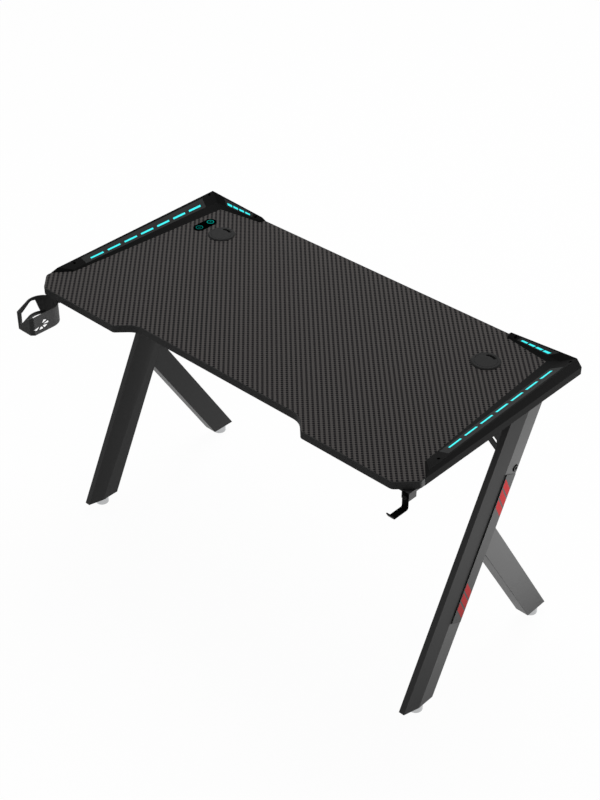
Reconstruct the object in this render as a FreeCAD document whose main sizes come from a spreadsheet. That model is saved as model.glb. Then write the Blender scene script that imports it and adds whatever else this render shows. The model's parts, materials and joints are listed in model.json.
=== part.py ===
import FreeCAD, Part
import math
import os
import re
import Sketcher
from FreeCAD import Vector

# A gaming desk: a patterned worktop with a shallow front recess, two faceted
# light housings along its side and rear edges, and a steel frame of leaning legs.
# The driving sizes, in millimetres, stand in one sheet.
SIZES = {
    # worktop
    "desk_length": 1200,
    "desk_depth": 610,
    "desk_height": 744,
    "board_thick": 19,
    "laminate_thick": 0.8,
    "edge_band": 2,
    "corner_cut": 42,
    "corner_round": 16,
    "recess_width": 606,
    "recess_depth": 40,
    "recess_round": 50,
    "recess_lip_round": 10,
    # grommets
    "grommet_side": 171.4,
    "grommet_rear": 130,
    "grommet_flange": 70,
    "grommet_hole": 60,
    "grommet_bore": 54,
    "grommet_rise": 3.6,
    "grommet_drop": 26,
    "grommet_lip": 2,
    "lid_thick": 4,
    "lid_slot_radius": 21.5,
    "lid_slot_width": 6.5,
    "running_gap": 0.3,
    # touch panel
    "touch_side": 103.7,
    "touch_rear": 124.3,
    "touch_length": 72,
    "touch_width": 32,
    "touch_thick": 1.5,
    "touch_lap": 3,
    "touch_pocket": 9,
    "circuit_thick": 1.6,
    # light housings
    "housing_front_gap": 57,
    "housing_front_run": 45,
    "housing_front_width": 34,
    "housing_corner_width": 72,
    "housing_corner_depth": 37,
    "housing_back_reach": 196,
    "housing_end_run": 8,
    "housing_end_depth": 16,
    "ridge_front_rise": 8.6,
    "ridge_front_setback": 17,
    "ridge_corner_rise": 21.4,
    "ridge_end_rise": 8.4,
    "ridge_front_inset": 5,
    "ridge_end_inset": 4,
    "knee_front_rise": 3.4,
    "knee_corner_rise": 6.4,
    "knee_end_rise": 3.6,
    "knee_front_inset": 1.5,
    "knee_end_inset": 1.5,
    "panel_thick": 1.6,
    "panel_ledge": 1.2,
    "side_panel_start": 87,
    "side_panel_length": 411,
    "side_lens_start": 108.2,
    "side_lens_pitch": 55.65,
    "side_lens_length": 41.5,
    "back_panel_start": 38,
    "back_panel_length": 100,
    "back_lens_start": 45,
    "back_lens_pitch": 22.1,
    "back_lens_length": 17.5,
    "strip_thick": 0.8,
    "housing_screw_head": 6.8,
    "housing_screw_shank": 3.4,
    "housing_screw_floor": 2.2,
    "housing_screw_bite": 11,
    "housing_screw_inset": 16.5,
    "housing_screw_front": 62,
    "housing_screw_corner": 24,
    "housing_screw_end": 18.5,
    "housing_screw_rear": 11,
    "screw_gap": 0.4,
    # frame
    "foot_height": 20,
    "leg_side": 37,
    "leg_width": 37.2,
    "leg_nose": 15.2,
    "leg_nose_run": 41.5,
    "leg_depth": 91.5,
    "leg_setback": 65,
    "leg_run": 336,
    "leg_wall": 2,
    "rear_leg_heel": 5,
    "rear_leg_depth": 71,
    "rear_leg_run": 245,
    "rear_leg_rise": 390,
    "rail_height": 22.5,
    "rail_wall": 1.6,
    "rail_front_gap": 43,
    "rail_rear_gap": 28,
    "rail_cap_thick": 3,
    "rail_cap_plug": 14,
    "rail_screw_shank": 4.5,
    "rail_screw_head": 10,
    "rail_screw_head_thick": 3,
    "rail_screw_bite": 12,
    "badge_width": 38,
    "badge_low": 191,
    "badge_bolt_gap": 8,
    "badge_thick": 2.5,
    "bolt_drop": 142.5,
    "bolt_back_gap": 12.5,
    "bolt_access": 19,
    "bolt_shoulder": 14,
    "bolt_proud": 2.2,
    "bolt_thread": 8,
    "bolt_nut_thick": 6.5,
    "bolt_nut_width": 13,
    "gusset_thick": 3,
    "gusset_flange": 22,
    "gusset_rise": 123,
    "gusset_run": 157,
    "gusset_slot_first": 19,
    "gusset_slot_pitch": 20,
    "gusset_slot_width": 8,
    "gusset_slot_margin": 12,
    "beam_height": 60,
    "beam_depth": 25,
    "beam_wall": 1.6,
    "beam_bolt_shank": 6,
    "beam_bolt_head": 12,
    "beam_bolt_head_thick": 4,
    "beam_bolt_spacing": 36,
    "foot_width": 36,
    "foot_chamfer": 2,
    "foot_stem": 8,
    "foot_stem_length": 30,
    "foot_plate_thick": 4,
    "foot_boss": 14,
    "foot_boss_height": 20,
    "foot_front_setback": 117,
    "foot_rear_setback": 40,
    # cup holder
    "cup_side": 60,
    "cup_centre_out": 25,
    "cup_radius": 40,
    "cup_wall": 2.8,
    "cup_height": 49,
    "cup_drop": 8,
    "cup_front_out": 65,
    "cup_corner": 8,
    "cup_left_front": 14,
    "cup_left_side": 37.6,
    "cup_left_back": 13.7,
    "cup_lip": 6,
    "cup_lip_thick": 3,
    "cup_tab_width": 56,
    "cup_tab_thick": 3,
    "cup_tab_length": 24,
    "cup_web_depth": 9,
    "cup_screw_spacing": 34,
    "cup_screw_edge": 8,
    # headphone hook
    "hook_side": 14,
    "hook_front": 11,
    "hook_width": 16,
    "hook_thick": 3,
    "hook_bend": 3,
    "hook_drop": 41,
    "hook_arm": 42,
    "hook_tip_out": 8,
    "hook_tip_rise": 13,
    "hook_plate_width": 36,
    "hook_plate_depth": 24,
    "hook_tab_drop": 20,
    "hook_tab_width": 20,
    "hook_cheek": 2,
    "hook_screw_drop": 11,
    "hook_screw_head": 10.5,
    "hook_screw_head_thick": 3.4,
    "hook_screw_shank": 5,
    "hook_nut_width": 9,
    "hook_nut_thick": 4,
    # light controller
    "box_length": 78,
    "box_width": 46,
    "box_height": 19,
    "box_side": 130,
    "box_rear": 60,
    "box_ear": 12,
    "box_ear_thick": 2.5,
    "inlet_width": 10,
    "inlet_height": 7,
    "inlet_depth": 12,
    # wood screws of the small parts under the board
    "small_screw_shank": 3.5,
    "small_screw_head": 7.5,
    "small_screw_head_thick": 2.2,
    "small_screw_bite": 12,
}

# Shares and counts that hold at any size.
OCTANT_SHARE = math.tan(math.radians(22.5))
STRAIGHT_SHARE = 0.99
KNEE_CORNER_SHARE = 0.368
RIDGE_CORNER_SHARE = 0.845
PANEL_SHARES = (0.03, 0.83)
LENS_SHARES = {"side": (0.258, 0.413), "back": (0.2, 0.45)}
STRIP_SHARES = (0.2, 0.47)
GROMMET_SLOPE_SHARE = 0.75
RAIL_SCREW_SHARES = (0.12, 0.5, 0.88)
HOOK_SCREW_SHARES = (0.33, 0.64)
SIDE_LENS_COUNT = 7
BACK_LENS_COUNT = 4
GUSSET_SLOT_COUNT = 3
LID_SLOT_ANGLE = 70
HEX_SIDES = 6

doc = FreeCAD.newDocument("gaming_desk")
sheet = doc.addObject("Spreadsheet::Sheet", "Sizes")
for row, (alias, amount) in enumerate(SIZES.items(), start=1):
    sheet.set("A%d" % row, alias)
    sheet.set("B%d" % row, str(amount))
    sheet.setAlias("B%d" % row, alias)
doc.recompute()

NODES = {}


def bind(text):
    """Writes a formula of size names as an expression on the sheet."""
    def named(match):
        word = match.group()
        return "Sizes." + word if word in SIZES else word
    return re.sub(r"[a-z][a-z0-9_]*", named, text)


def measure(text):
    """The value of a formula of size names."""
    return float(sheet.evalExpression(bind(text)))


def node(label, obj):
    """Marks an object as a sub-part of the desk."""
    obj.Label = label
    NODES[label] = obj
    return obj


def put(obj, x="0", y="0", z="0"):
    """Binds the place of an object's own origin."""
    for axis, text in zip("xyz", (x, y, z)):
        obj.setExpression("Placement.Base." + axis, bind(text))
    return obj


def box(name, length, width, height, x="0", y="0", z="0"):
    """A block placed by its low corner."""
    block = doc.addObject("Part::Box", name)
    for prop, text in (("Length", length), ("Width", width), ("Height", height)):
        block.setExpression(prop, bind(text))
    return put(block, x, y, z)


def rod(name, width, height, x="0", y="0", z="0", along=Vector(0, 0, 1)):
    """A round rod of a given diameter that starts at a point."""
    bar = doc.addObject("Part::Cylinder", name)
    bar.setExpression("Radius", bind("(%s) / 2" % width))
    bar.setExpression("Height", bind(height))
    bar.Placement = FreeCAD.Placement(Vector(), FreeCAD.Rotation(Vector(0, 0, 1), along))
    return put(bar, x, y, z)


def hexagon(name, width, height, x="0", y="0", z="0", along=Vector(0, 0, 1)):
    """A hexagonal nut blank, its width measured over the corners."""
    prism = doc.addObject("Part::Prism", name)
    prism.Polygon = HEX_SIDES
    prism.setExpression("Circumradius", bind("(%s) / 2" % width))
    prism.setExpression("Height", bind(height))
    prism.Placement = FreeCAD.Placement(Vector(), FreeCAD.Rotation(Vector(0, 0, 1), along))
    return put(prism, x, y, z)


def union(name, *solids):
    """Several solids made one."""
    whole = doc.addObject("Part::MultiFuse", name)
    whole.Shapes = list(solids)
    return whole


def cut(name, base, *tools):
    """A solid with other solids taken out of it."""
    rest = doc.addObject("Part::Cut", name)
    rest.Base = base
    rest.Tool = tools[0] if len(tools) == 1 else union(name + "_tools", *tools)
    return rest


def common(name, base, tool):
    """The room that two solids share."""
    shared = doc.addObject("Part::Common", name)
    shared.Base = base
    shared.Tool = tool
    return shared


def group(name, *solids):
    """Separate solids kept together as one sub-part."""
    several = doc.addObject("Part::Compound", name)
    several.Links = list(solids)
    return several


def mirror(name, source):
    """The left-hand twin of a right-hand piece."""
    twin = doc.addObject("Part::Mirroring", name)
    twin.Source = source
    twin.Base = Vector(0, 0, 0)
    twin.Normal = Vector(1, 0, 0)
    return twin


def pair(label, right):
    """A right-hand sub-part and its mirrored left-hand twin."""
    node("right_" + label, right)
    return node("left_" + label, mirror("twin_" + label, right))


def polygon(sketch, points):
    """A closed polygon whose corners are bound to formulas."""
    spots = [Vector(measure(x), measure(y), 0) for x, y in points]
    count = len(spots)
    first = sketch.GeometryCount
    sketch.addGeometry([Part.LineSegment(spots[k], spots[(k + 1) % count]) for k in range(count)], False)
    joins = []
    for k in range(count):
        joins.append(Sketcher.Constraint("Coincident", first + k, 2, first + (k + 1) % count, 1))
    sketch.addConstraint(joins)
    for k, pair_of_texts in enumerate(points):
        for kind, text, value in zip(("DistanceX", "DistanceY"), pair_of_texts, spots[k]):
            spot = sketch.addConstraint(Sketcher.Constraint(kind, -1, 1, first + k, 1, value))
            sketch.setExpression("Constraints[%d]" % spot, bind(text))


def circle(sketch, radius, x="0", y="0"):
    """A circle whose radius and centre are bound to formulas."""
    centre = Vector(measure(x), measure(y), 0)
    ring = sketch.addGeometry(Part.Circle(centre, Vector(0, 0, 1), measure(radius)), False)
    for kind, text, value in (("DistanceX", x, centre.x), ("DistanceY", y, centre.y)):
        spot = sketch.addConstraint(Sketcher.Constraint(kind, -1, 1, ring, 3, value))
        sketch.setExpression("Constraints[%d]" % spot, bind(text))
    spot = sketch.addConstraint(Sketcher.Constraint("Radius", ring, measure(radius)))
    sketch.setExpression("Constraints[%d]" % spot, bind(radius))


def sketch_in(body, role, name):
    """A sketch on one of the body's own origin planes."""
    sketch = body.newObject("Sketcher::SketchObject", name)
    plane = [part for part in body.Origin.OriginFeatures if part.Role == role][0]
    sketch.AttachmentSupport = [(plane, "")]
    sketch.MapMode = "FlatFace"
    return sketch


def lift(sketch, text):
    """Moves a sketch off its plane along the plane's normal."""
    sketch.setExpression("AttachmentOffset.Base.z", bind(text))


def pad(body, sketch, length, middle=False, back=False):
    """Adds a sketch's area as a solid of the given length."""
    step = body.newObject("PartDesign::Pad", sketch.Name + "_pad")
    step.Profile = sketch
    step.setExpression("Length", bind(length))
    step.SideType = "Symmetric" if middle else "One side"
    step.Reversed = back
    doc.recompute()
    return step


def pocket(body, sketch, length, middle=False, back=False):
    """Takes a sketch's area out to the given length."""
    step = body.newObject("PartDesign::Pocket", sketch.Name + "_pocket")
    step.Profile = sketch
    step.setExpression("Length", bind(length))
    step.SideType = "Symmetric" if middle else "One side"
    step.Reversed = back
    doc.recompute()
    return step


def round_edges(body, step, spots, radius, name, along="z"):
    """Rounds the edges along an axis that pass nearest the given points across it."""
    across = [axis for axis in "xyz" if axis != along]
    names = []
    for spot in spots:
        goal = [measure(text) for text in spot]
        best = None
        for number, edge in enumerate(step.Shape.Edges, start=1):
            foot = edge.firstVertex().Point
            run = edge.lastVertex().Point - foot
            if abs(getattr(run, along)) < run.Length * STRAIGHT_SHARE:
                continue
            gap = math.dist(goal, [getattr(foot, axis) for axis in across])
            if best is None or gap < best[0]:
                best = (gap, "Edge%d" % number)
        names.append(best[1])
    fillet = body.newObject("PartDesign::Fillet", name)
    fillet.Base = (step, names)
    fillet.setExpression("Radius", bind(radius))
    doc.recompute()
    return fillet


def revolve(name, profile, role="XZ_Plane", axis="V_Axis"):
    """A turned piece: half a profile swept round an axis of its sketch."""
    body = doc.addObject("PartDesign::Body", name)
    sketch = sketch_in(body, role, name + "_profile")
    polygon(sketch, profile)
    step = body.newObject("PartDesign::Revolution", name + "_turn")
    step.Profile = sketch
    step.ReferenceAxis = (sketch, [axis])
    step.Angle = 360
    doc.recompute()
    return body


# The frame: the origin lies on the floor under the middle of the whole desk. The
# cup holder stands out in front, so the worktop's middle lies behind the origin.
CUP_REACH = "(cup_centre_out + cup_front_out)"
MID_Y = "(%s / 2)" % CUP_REACH
FRONT_Y = "(%s - desk_depth / 2)" % MID_Y
REAR_Y = "(%s + desk_depth / 2)" % MID_Y
HALF_X = "(desk_length / 2)"
UNDER_Z = "(desk_height - board_thick)"
RAIL_Z = "(%s - rail_height)" % UNDER_Z
LEG_RISE = "(%s - foot_height)" % RAIL_Z
LEG_X = "(desk_length / 2 - leg_side)"


def outline_points(inset):
    """Plan of the worktop, drawn in by an even inset, seen from its middle."""
    slip = "(%s) * %r" % (inset, OCTANT_SHARE)
    side = "(desk_length / 2 - (%s))" % inset
    rear = "(desk_depth / 2 - (%s))" % inset
    front = "(desk_depth / 2 - (%s))" % inset
    cut_y = "(desk_depth / 2 - corner_cut - %s)" % slip
    cut_x = "(desk_length / 2 - corner_cut - %s)" % slip
    lip_x = "(recess_width / 2 + %s)" % slip
    bay_x = "(recess_width / 2 - recess_depth + %s)" % slip
    bay_y = "(desk_depth / 2 - recess_depth - (%s))" % inset
    ends = [(side, rear), (side, "-" + cut_y), (cut_x, "-" + front)]
    right = ends + [(lip_x, "-" + front), (bay_x, "-" + bay_y)]
    left = [("-" + x, y) for x, y in reversed(right)]
    return right + left


def outline_body(name, inset, thick):
    """The worktop's plan as a plate with rounded corners."""
    body = doc.addObject("PartDesign::Body", name)
    sketch = sketch_in(body, "XY_Plane", name + "_outline")
    points = outline_points(inset)
    polygon(sketch, points)
    step = pad(body, sketch, thick)
    corners = [points[1], points[2], points[7], points[8]]
    lips = [points[3], points[6]]
    bays = [points[4], points[5]]
    step = round_edges(body, step, corners, "corner_round - (%s)" % inset, name + "_corners")
    step = round_edges(body, step, lips, "recess_lip_round - (%s)" % inset, name + "_lips")
    round_edges(body, step, bays, "recess_round + (%s)" % inset, name + "_bays")
    return body


# Openings that the board and its laminate share: two grommet holes and a pill.
GROMMET_X = "(desk_length / 2 - grommet_side)"
GROMMET_Y = "(desk_depth / 2 - grommet_rear)"
TOUCH_X = "(desk_length / 2 - touch_side)"
TOUCH_Y = "(desk_depth / 2 - touch_rear)"


def pill(name, length, width, height, x, y, z):
    """A stadium-shaped block: a bar with half-round ends, long way along Y."""
    straight = "((%s) - (%s))" % (length, width)
    low_y = "%s - %s / 2" % (y, straight)
    high_y = "%s + %s / 2" % (y, straight)
    bar = box(name + "_bar", width, straight, height, "%s - (%s) / 2" % (x, width), low_y, z)
    low = rod(name + "_low", width, height, x, low_y, z)
    high = rod(name + "_high", width, height, x, high_y, z)
    return union(name, bar, low, high)


def board_tools(name, height, pocket_depth):
    """Solids that cut the grommet holes and the touch panel's pocket."""
    right = rod(name + "_right", "grommet_hole", height, GROMMET_X, GROMMET_Y)
    left = rod(name + "_left", "grommet_hole", height, "-" + GROMMET_X, GROMMET_Y)
    inner_length = "touch_length - touch_lap * 2"
    inner_width = "touch_width - touch_lap * 2"
    low = "(%s) - (%s)" % (height, pocket_depth)
    sunk = pill(name + "_touch", inner_length, inner_width, pocket_depth, "-" + TOUCH_X, TOUCH_Y, low)
    return right, left, sunk


CORE_THICK = "(board_thick - laminate_thick)"
core_plate = outline_body("core_plate", "edge_band", CORE_THICK)
core = cut("core", core_plate, *board_tools("core_holes", CORE_THICK, "touch_pocket"))
node("desktop_core", put(core, y=MID_Y, z=UNDER_Z))

laminate_plate = outline_body("laminate_plate", "edge_band", "laminate_thick")
laminate = cut("laminate", laminate_plate, *board_tools("laminate_holes", "laminate_thick", "laminate_thick"))
node("desktop_laminate", put(laminate, y=MID_Y, z="desk_height - laminate_thick"))

# The edge band is a thin strip round the board, left out where a housing's skirt
# takes its place.
band_outer = outline_body("band_outer", "0", "board_thick")
band_inner = outline_body("band_inner", "edge_band", "board_thick")
band_ring = cut("band_ring", band_outer, band_inner)
front_room = box("front_band_room", "desk_length", "housing_front_gap", "board_thick",
                 "-" + HALF_X, "-desk_depth / 2")
BACK_END = "(desk_length / 2 - housing_back_reach - housing_end_run)"
rear_room = box("rear_band_room", "%s * 2" % BACK_END, "edge_band * 2", "board_thick",
                "-" + BACK_END, "desk_depth / 2 - edge_band * 2")
node("front_edge_band", put(common("front_band", band_ring, front_room), y=MID_Y, z=UNDER_Z))
node("rear_edge_band", put(common("rear_band", band_ring, rear_room), y=MID_Y, z=UNDER_Z))


# A light housing has three lines that run from the front, round the rear corner,
# to the end of the rear arm: its foot on the board, a low knee and a high ridge.
# The face between knee and ridge is ruled, and carries the panel and the lenses. The
# right housing is drawn on the worktop's surface, from the worktop's rear corner.
def line_point(start, end, share):
    """The point at a share of the way between two points."""
    return start + (end - start) * share


mitre_foot = Vector(-measure("housing_corner_width"), -measure("housing_corner_depth"), 0)
mitre_outer = Vector(0, 0, 0)
knee_rise = Vector(0, 0, measure("knee_corner_rise"))
ridge_rise = Vector(0, 0, measure("ridge_corner_rise"))
mitre_knee = line_point(mitre_foot, mitre_outer, KNEE_CORNER_SHARE) + knee_rise
mitre_ridge = line_point(mitre_foot, mitre_outer, RIDGE_CORNER_SHARE) + ridge_rise
front_tip_y = measure("housing_front_gap - desk_depth")
front_x = -measure("housing_front_width")
end_x = -measure("housing_back_reach + housing_end_run")
end_y = -measure("housing_end_depth")
SIDE_START = {
    "foot": Vector(front_x, front_tip_y, 0),
    "knee": Vector(front_x + measure("knee_front_inset"), front_tip_y, measure("knee_front_rise")),
    "ridge": Vector(-measure("ridge_front_inset"), front_tip_y, measure("ridge_front_rise")),
    "outer": Vector(0, front_tip_y, 0),
}
MITRE = {"foot": mitre_foot, "knee": mitre_knee, "ridge": mitre_ridge, "outer": mitre_outer}
BACK_END_LINE = {
    "foot": Vector(end_x, end_y, 0),
    "knee": Vector(end_x, end_y + measure("knee_end_inset"), measure("knee_end_rise")),
    "ridge": Vector(end_x, -measure("ridge_end_inset"), measure("ridge_end_rise")),
    "outer": Vector(end_x, 0, 0),
}


def arm_section(start, end, share):
    """One cross-section of an arm: foot, knee, ridge and outer edge."""
    names = ("foot", "knee", "ridge", "outer")
    return [line_point(start[name], end[name], share) for name in names]


def loft(sections):
    """A solid ruled between polygons of as many corners."""
    wires = [Part.makePolygon(points + points[:1]) for points in sections]
    return Part.makeLoft(wires, True, True)


def patch(start, end, shares, across, top, bottom):
    """A slab of the ruled face: top and bottom are depths below the face,
    or bottom may be None for one that goes down to the board."""
    sections = []
    for share in shares:
        foot, knee, ridge, outer = arm_section(start, end, share)
        near = line_point(knee, ridge, across[0])
        far = line_point(knee, ridge, across[1])
        low_near = Vector(near.x, near.y, 0 if bottom is None else near.z - bottom)
        low_far = Vector(far.x, far.y, 0 if bottom is None else far.z - bottom)
        high_near = near - Vector(0, 0, top)
        high_far = far - Vector(0, 0, top)
        sections.append([high_near, high_far, low_far, low_near])
    return loft(sections)


def beyond(first, second, third, size):
    """A large slab on the far side of the plane through three points."""
    normal = (second - first).cross(third - first).normalize()
    along = (second - first).normalize()
    across = normal.cross(along)
    corners = [first + along * a * size + across * b * size for a, b in ((-1, -1), (1, -1), (1, 1), (-1, 1))]
    return Part.Face(Part.makePolygon(corners + corners[:1])).extrude(normal * size)


def face_middle(line):
    """The middle of the ruled face at one end of an arm."""
    return (line["knee"] + line["ridge"]) / 2


side_length = (face_middle(MITRE) - face_middle(SIDE_START)).Length
back_length = (face_middle(MITRE) - face_middle(BACK_END_LINE)).Length
ARMS = {
    "side": (SIDE_START, MITRE, side_length, SIDE_LENS_COUNT),
    "back": (MITRE, BACK_END_LINE, back_length, BACK_LENS_COUNT),
}
panel_thick = measure("panel_thick")
ledge = measure("panel_ledge")
band = measure("edge_band")
board_thick = measure("board_thick")


def arm_shares(arm, start_name, length_name, grow=0):
    """Start and end of a run along an arm, as shares of the arm's length."""
    length = ARMS[arm][2]
    low = measure(start_name) - grow
    high = measure(start_name) + measure(length_name) + grow
    return low / length, high / length


def ledge_shares(arm, across, share):
    """Shares across the face, drawn in by the panel's ledge."""
    start, end = ARMS[arm][:2]
    foot, knee, ridge, outer = arm_section(start, end, share)
    width = (ridge - knee).Length
    return across[0] + ledge / width, across[1] - ledge / width


def lens_shapes(arm):
    """The row of lenses in one arm."""
    start, end, length, count = ARMS[arm]
    shapes = []
    for k in range(count):
        low = measure("%s_lens_start + %s_lens_pitch * %d" % (arm, arm, k))
        shares = (low / length, (low + measure(arm + "_lens_length")) / length)
        shapes.append(patch(start, end, shares, LENS_SHARES[arm], 0, panel_thick))
    return shapes


def part_feature(name, shape):
    """A sub-part of the right housing, made straight from the sheet's sizes."""
    piece = doc.addObject("Part::Feature", name)
    piece.Shape = shape
    return put(piece, HALF_X, REAR_Y, "desk_height")


# Screw places of a housing, seen from the worktop's rear corner.
SCREW_SPOTS = [
    (-measure("housing_screw_inset"), front_tip_y + measure("housing_screw_front")),
    (-measure("housing_screw_inset"), -measure("housing_screw_corner")),
    (measure("housing_screw_end - housing_back_reach"), -measure("housing_screw_rear")),
]
head_radius = measure("housing_screw_head / 2")
shank_radius = measure("housing_screw_shank / 2")
screw_floor = measure("housing_screw_floor")
screw_gap = measure("screw_gap")
tall = measure("ridge_corner_rise * 2")


def housing_shape():
    """Outer form of the right housing with its pockets and screw holes."""
    side_arm = loft([arm_section(SIDE_START, MITRE, share) for share in (0, 1)])
    back_arm = loft([arm_section(MITRE, BACK_END_LINE, share) for share in (0, 1)])
    front_share = measure("housing_front_run") / side_length
    setback_share = measure("ridge_front_setback") / side_length
    inner_front = line_point(SIDE_START["foot"], MITRE["foot"], front_share)
    ridge_front = line_point(SIDE_START["ridge"], MITRE["ridge"], setback_share)
    front_slab = beyond(inner_front, SIDE_START["outer"], ridge_front, measure("housing_back_reach"))
    side_arm = side_arm.cut(front_slab)
    end_share = measure("housing_end_run") / back_length
    inner_end = line_point(BACK_END_LINE["foot"], MITRE["foot"], end_share)
    ridge_end = line_point(BACK_END_LINE["ridge"], MITRE["ridge"], end_share)
    end_slab = beyond(BACK_END_LINE["outer"], inner_end, ridge_end, measure("housing_front_width"))
    back_arm = back_arm.cut(end_slab)
    form = side_arm.fuse(back_arm)
    skirt_side = Part.makeBox(band, -front_tip_y, board_thick, Vector(-band, front_tip_y, -board_thick))
    skirt_back = Part.makeBox(-end_x, band, board_thick, Vector(end_x, -band, -board_thick))
    form = form.fuse(skirt_side).fuse(skirt_back).removeSplitter()
    for arm, (start, end, length, count) in ARMS.items():
        shares = arm_shares(arm, arm + "_panel_start", arm + "_panel_length")
        form = form.cut(patch(start, end, shares, PANEL_SHARES, 0, panel_thick))
        inner = arm_shares(arm, arm + "_panel_start", arm + "_panel_length", -ledge)
        form = form.cut(patch(start, end, inner, ledge_shares(arm, PANEL_SHARES, inner[1]), 0, None))
    for x, y in SCREW_SPOTS:
        form = form.cut(Part.makeCylinder(head_radius + screw_gap, tall, Vector(x, y, screw_floor)))
        form = form.cut(Part.makeCylinder(shank_radius + screw_gap, tall, Vector(x, y, -tall / 2)))
    return form


pair("light_housing", part_feature("housing", housing_shape()))
for arm_name, (arm_start, arm_end, arm_length, arm_count) in ARMS.items():
    panel_shares = arm_shares(arm_name, arm_name + "_panel_start", arm_name + "_panel_length")
    panel = patch(arm_start, arm_end, panel_shares, PANEL_SHARES, 0, panel_thick)
    lenses = lens_shapes(arm_name)
    for lens in lenses:
        panel = panel.cut(lens)
    pair(arm_name + "_light_panel", part_feature(arm_name + "_panel", panel))
    pair(arm_name + "_lenses", part_feature(arm_name + "_lens_row", Part.Compound(lenses)))


def strip_shape(arm):
    """A flat light strip on the board, under an arm's lenses."""
    start, end = ARMS[arm][:2]
    thick = measure("strip_thick")
    sections = []
    for share in arm_shares(arm, arm + "_panel_start", arm + "_panel_length", -ledge * 2):
        foot, knee, ridge, outer = arm_section(start, end, share)
        near = line_point(knee, ridge, STRIP_SHARES[0])
        far = line_point(knee, ridge, STRIP_SHARES[1])
        floor = [Vector(near.x, near.y, 0), Vector(far.x, far.y, 0)]
        roof = [Vector(far.x, far.y, thick), Vector(near.x, near.y, thick)]
        sections.append(floor + roof)
    return loft(sections)


strips = Part.Compound([strip_shape("side"), strip_shape("back")])
pair("light_strips", part_feature("strips", strips))

housing_screws = []
for screw_x, screw_y in SCREW_SPOTS:
    head = Part.makeCone(head_radius, head_radius / 2, head_radius / 2, Vector(screw_x, screw_y, screw_floor))
    bite = measure("housing_screw_bite")
    shank = Part.makeCylinder(shank_radius, screw_floor + bite, Vector(screw_x, screw_y, -bite))
    housing_screws.append(head.fuse(shank))
pair("housing_screws", part_feature("screws_of_housing", Part.Compound(housing_screws)))

# Grommets: a flanged ring with an inner lip, and a lid that lifts straight out.
LID_LOW = "(grommet_rise - lid_thick)"
LIP_TOP = "(%s - running_gap)" % LID_LOW
ring_profile = [
    ("grommet_bore / 2", "grommet_rise"),
    ("grommet_flange / 2 - grommet_rise * %r" % GROMMET_SLOPE_SHARE, "grommet_rise"),
    ("grommet_flange / 2", "grommet_rise * %r" % (1 - GROMMET_SLOPE_SHARE)),
    ("grommet_flange / 2", "0"),
    ("grommet_hole / 2 - running_gap", "0"),
    ("grommet_hole / 2 - running_gap", "-grommet_drop"),
    ("grommet_bore / 2", "-grommet_drop"),
    ("grommet_bore / 2", LIP_TOP + " - grommet_lip"),
    ("grommet_bore / 2 - grommet_lip", LIP_TOP + " - grommet_lip"),
    ("grommet_bore / 2 - grommet_lip", LIP_TOP),
    ("grommet_bore / 2", LIP_TOP),
]
ring = put(revolve("grommet_ring", ring_profile), GROMMET_X, MID_Y + " + " + GROMMET_Y, "desk_height")
pair("grommet_ring", ring)
LID_RADIUS = "(grommet_bore / 2 - running_gap)"
lid_disc = rod("lid_disc", LID_RADIUS + " * 2", "lid_thick", z=LID_LOW)
SLOT_LOW = LID_LOW + " - lid_thick"
slot_outer = rod("slot_outer", "lid_slot_radius * 2 + lid_slot_width", "lid_thick * 3", z=SLOT_LOW)
slot_inner = rod("slot_inner", "lid_slot_radius * 2 - lid_slot_width", "lid_thick * 3", z=SLOT_LOW)
slot_outer.Angle = LID_SLOT_ANGLE
slot_turn = FreeCAD.Rotation(Vector(0, 0, 1), 90 - LID_SLOT_ANGLE / 2)
slot_outer.Placement = FreeCAD.Placement(slot_outer.Placement.Base, slot_turn)
lid = cut("lid", lid_disc, cut("lid_slot", slot_outer, slot_inner))
pair("grommet_lid", put(lid, GROMMET_X, MID_Y + " + " + GROMMET_Y, "desk_height"))

# Touch panel over its pocket, with the circuit board under it.
touch = pill("touch_plate", "touch_length", "touch_width", "touch_thick", "0", "0", "0")
node("touch_panel", put(touch, "-" + TOUCH_X, MID_Y + " + " + TOUCH_Y, "desk_height"))
BOARD_LONG = "(touch_length - touch_width + touch_lap)"
BOARD_WIDE = "(touch_width - touch_lap * 3)"
circuit = box("circuit", BOARD_WIDE, BOARD_LONG, "circuit_thick")
node("touch_circuit", put(circuit, "-%s - %s / 2" % (TOUCH_X, BOARD_WIDE),
                          "%s + %s - %s / 2" % (MID_Y, TOUCH_Y, BOARD_LONG), "desk_height - circuit_thick"))


# Frame. A rail is a square tube under the board; the legs meet its underside.
RAIL_Y = "(%s + rail_front_gap)" % FRONT_Y
RAIL_LONG = "(desk_depth - rail_front_gap - rail_rear_gap)"
RAIL_X = "(%s - leg_width / 2)" % LEG_X
PLUG_WIDE = "(leg_width - rail_wall * 2)"
PLUG_HIGH = "(rail_height - rail_wall * 2)"
rail_solid = box("rail_solid", "leg_width", RAIL_LONG, "rail_height")
rail_room = box("rail_room", PLUG_WIDE, RAIL_LONG, PLUG_HIGH, "rail_wall", "0", "rail_wall")
rail_holes = []
rail_screws = []
for number, share in enumerate(RAIL_SCREW_SHARES):
    screw_along = "%s * %r" % (RAIL_LONG, share)
    rail_holes.append(rod("rail_hole_%d" % number, "rail_screw_shank + screw_gap * 2", "rail_height",
                          "leg_width / 2", screw_along))
    shank = rod("rail_shank_%d" % number, "rail_screw_shank", "rail_height + rail_screw_bite",
                "leg_width / 2", screw_along)
    head = rod("rail_head_%d" % number, "rail_screw_head", "rail_screw_head_thick",
               "leg_width / 2", screw_along, "-rail_screw_head_thick")
    rail_screws.append(union("rail_screw_%d" % number, shank, head))
rail = cut("rail", rail_solid, rail_room, *rail_holes)
pair("side_rail", put(rail, RAIL_X, RAIL_Y, RAIL_Z))
pair("rail_screws", put(group("rail_screw_group", *rail_screws), RAIL_X, RAIL_Y, RAIL_Z))
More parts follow.
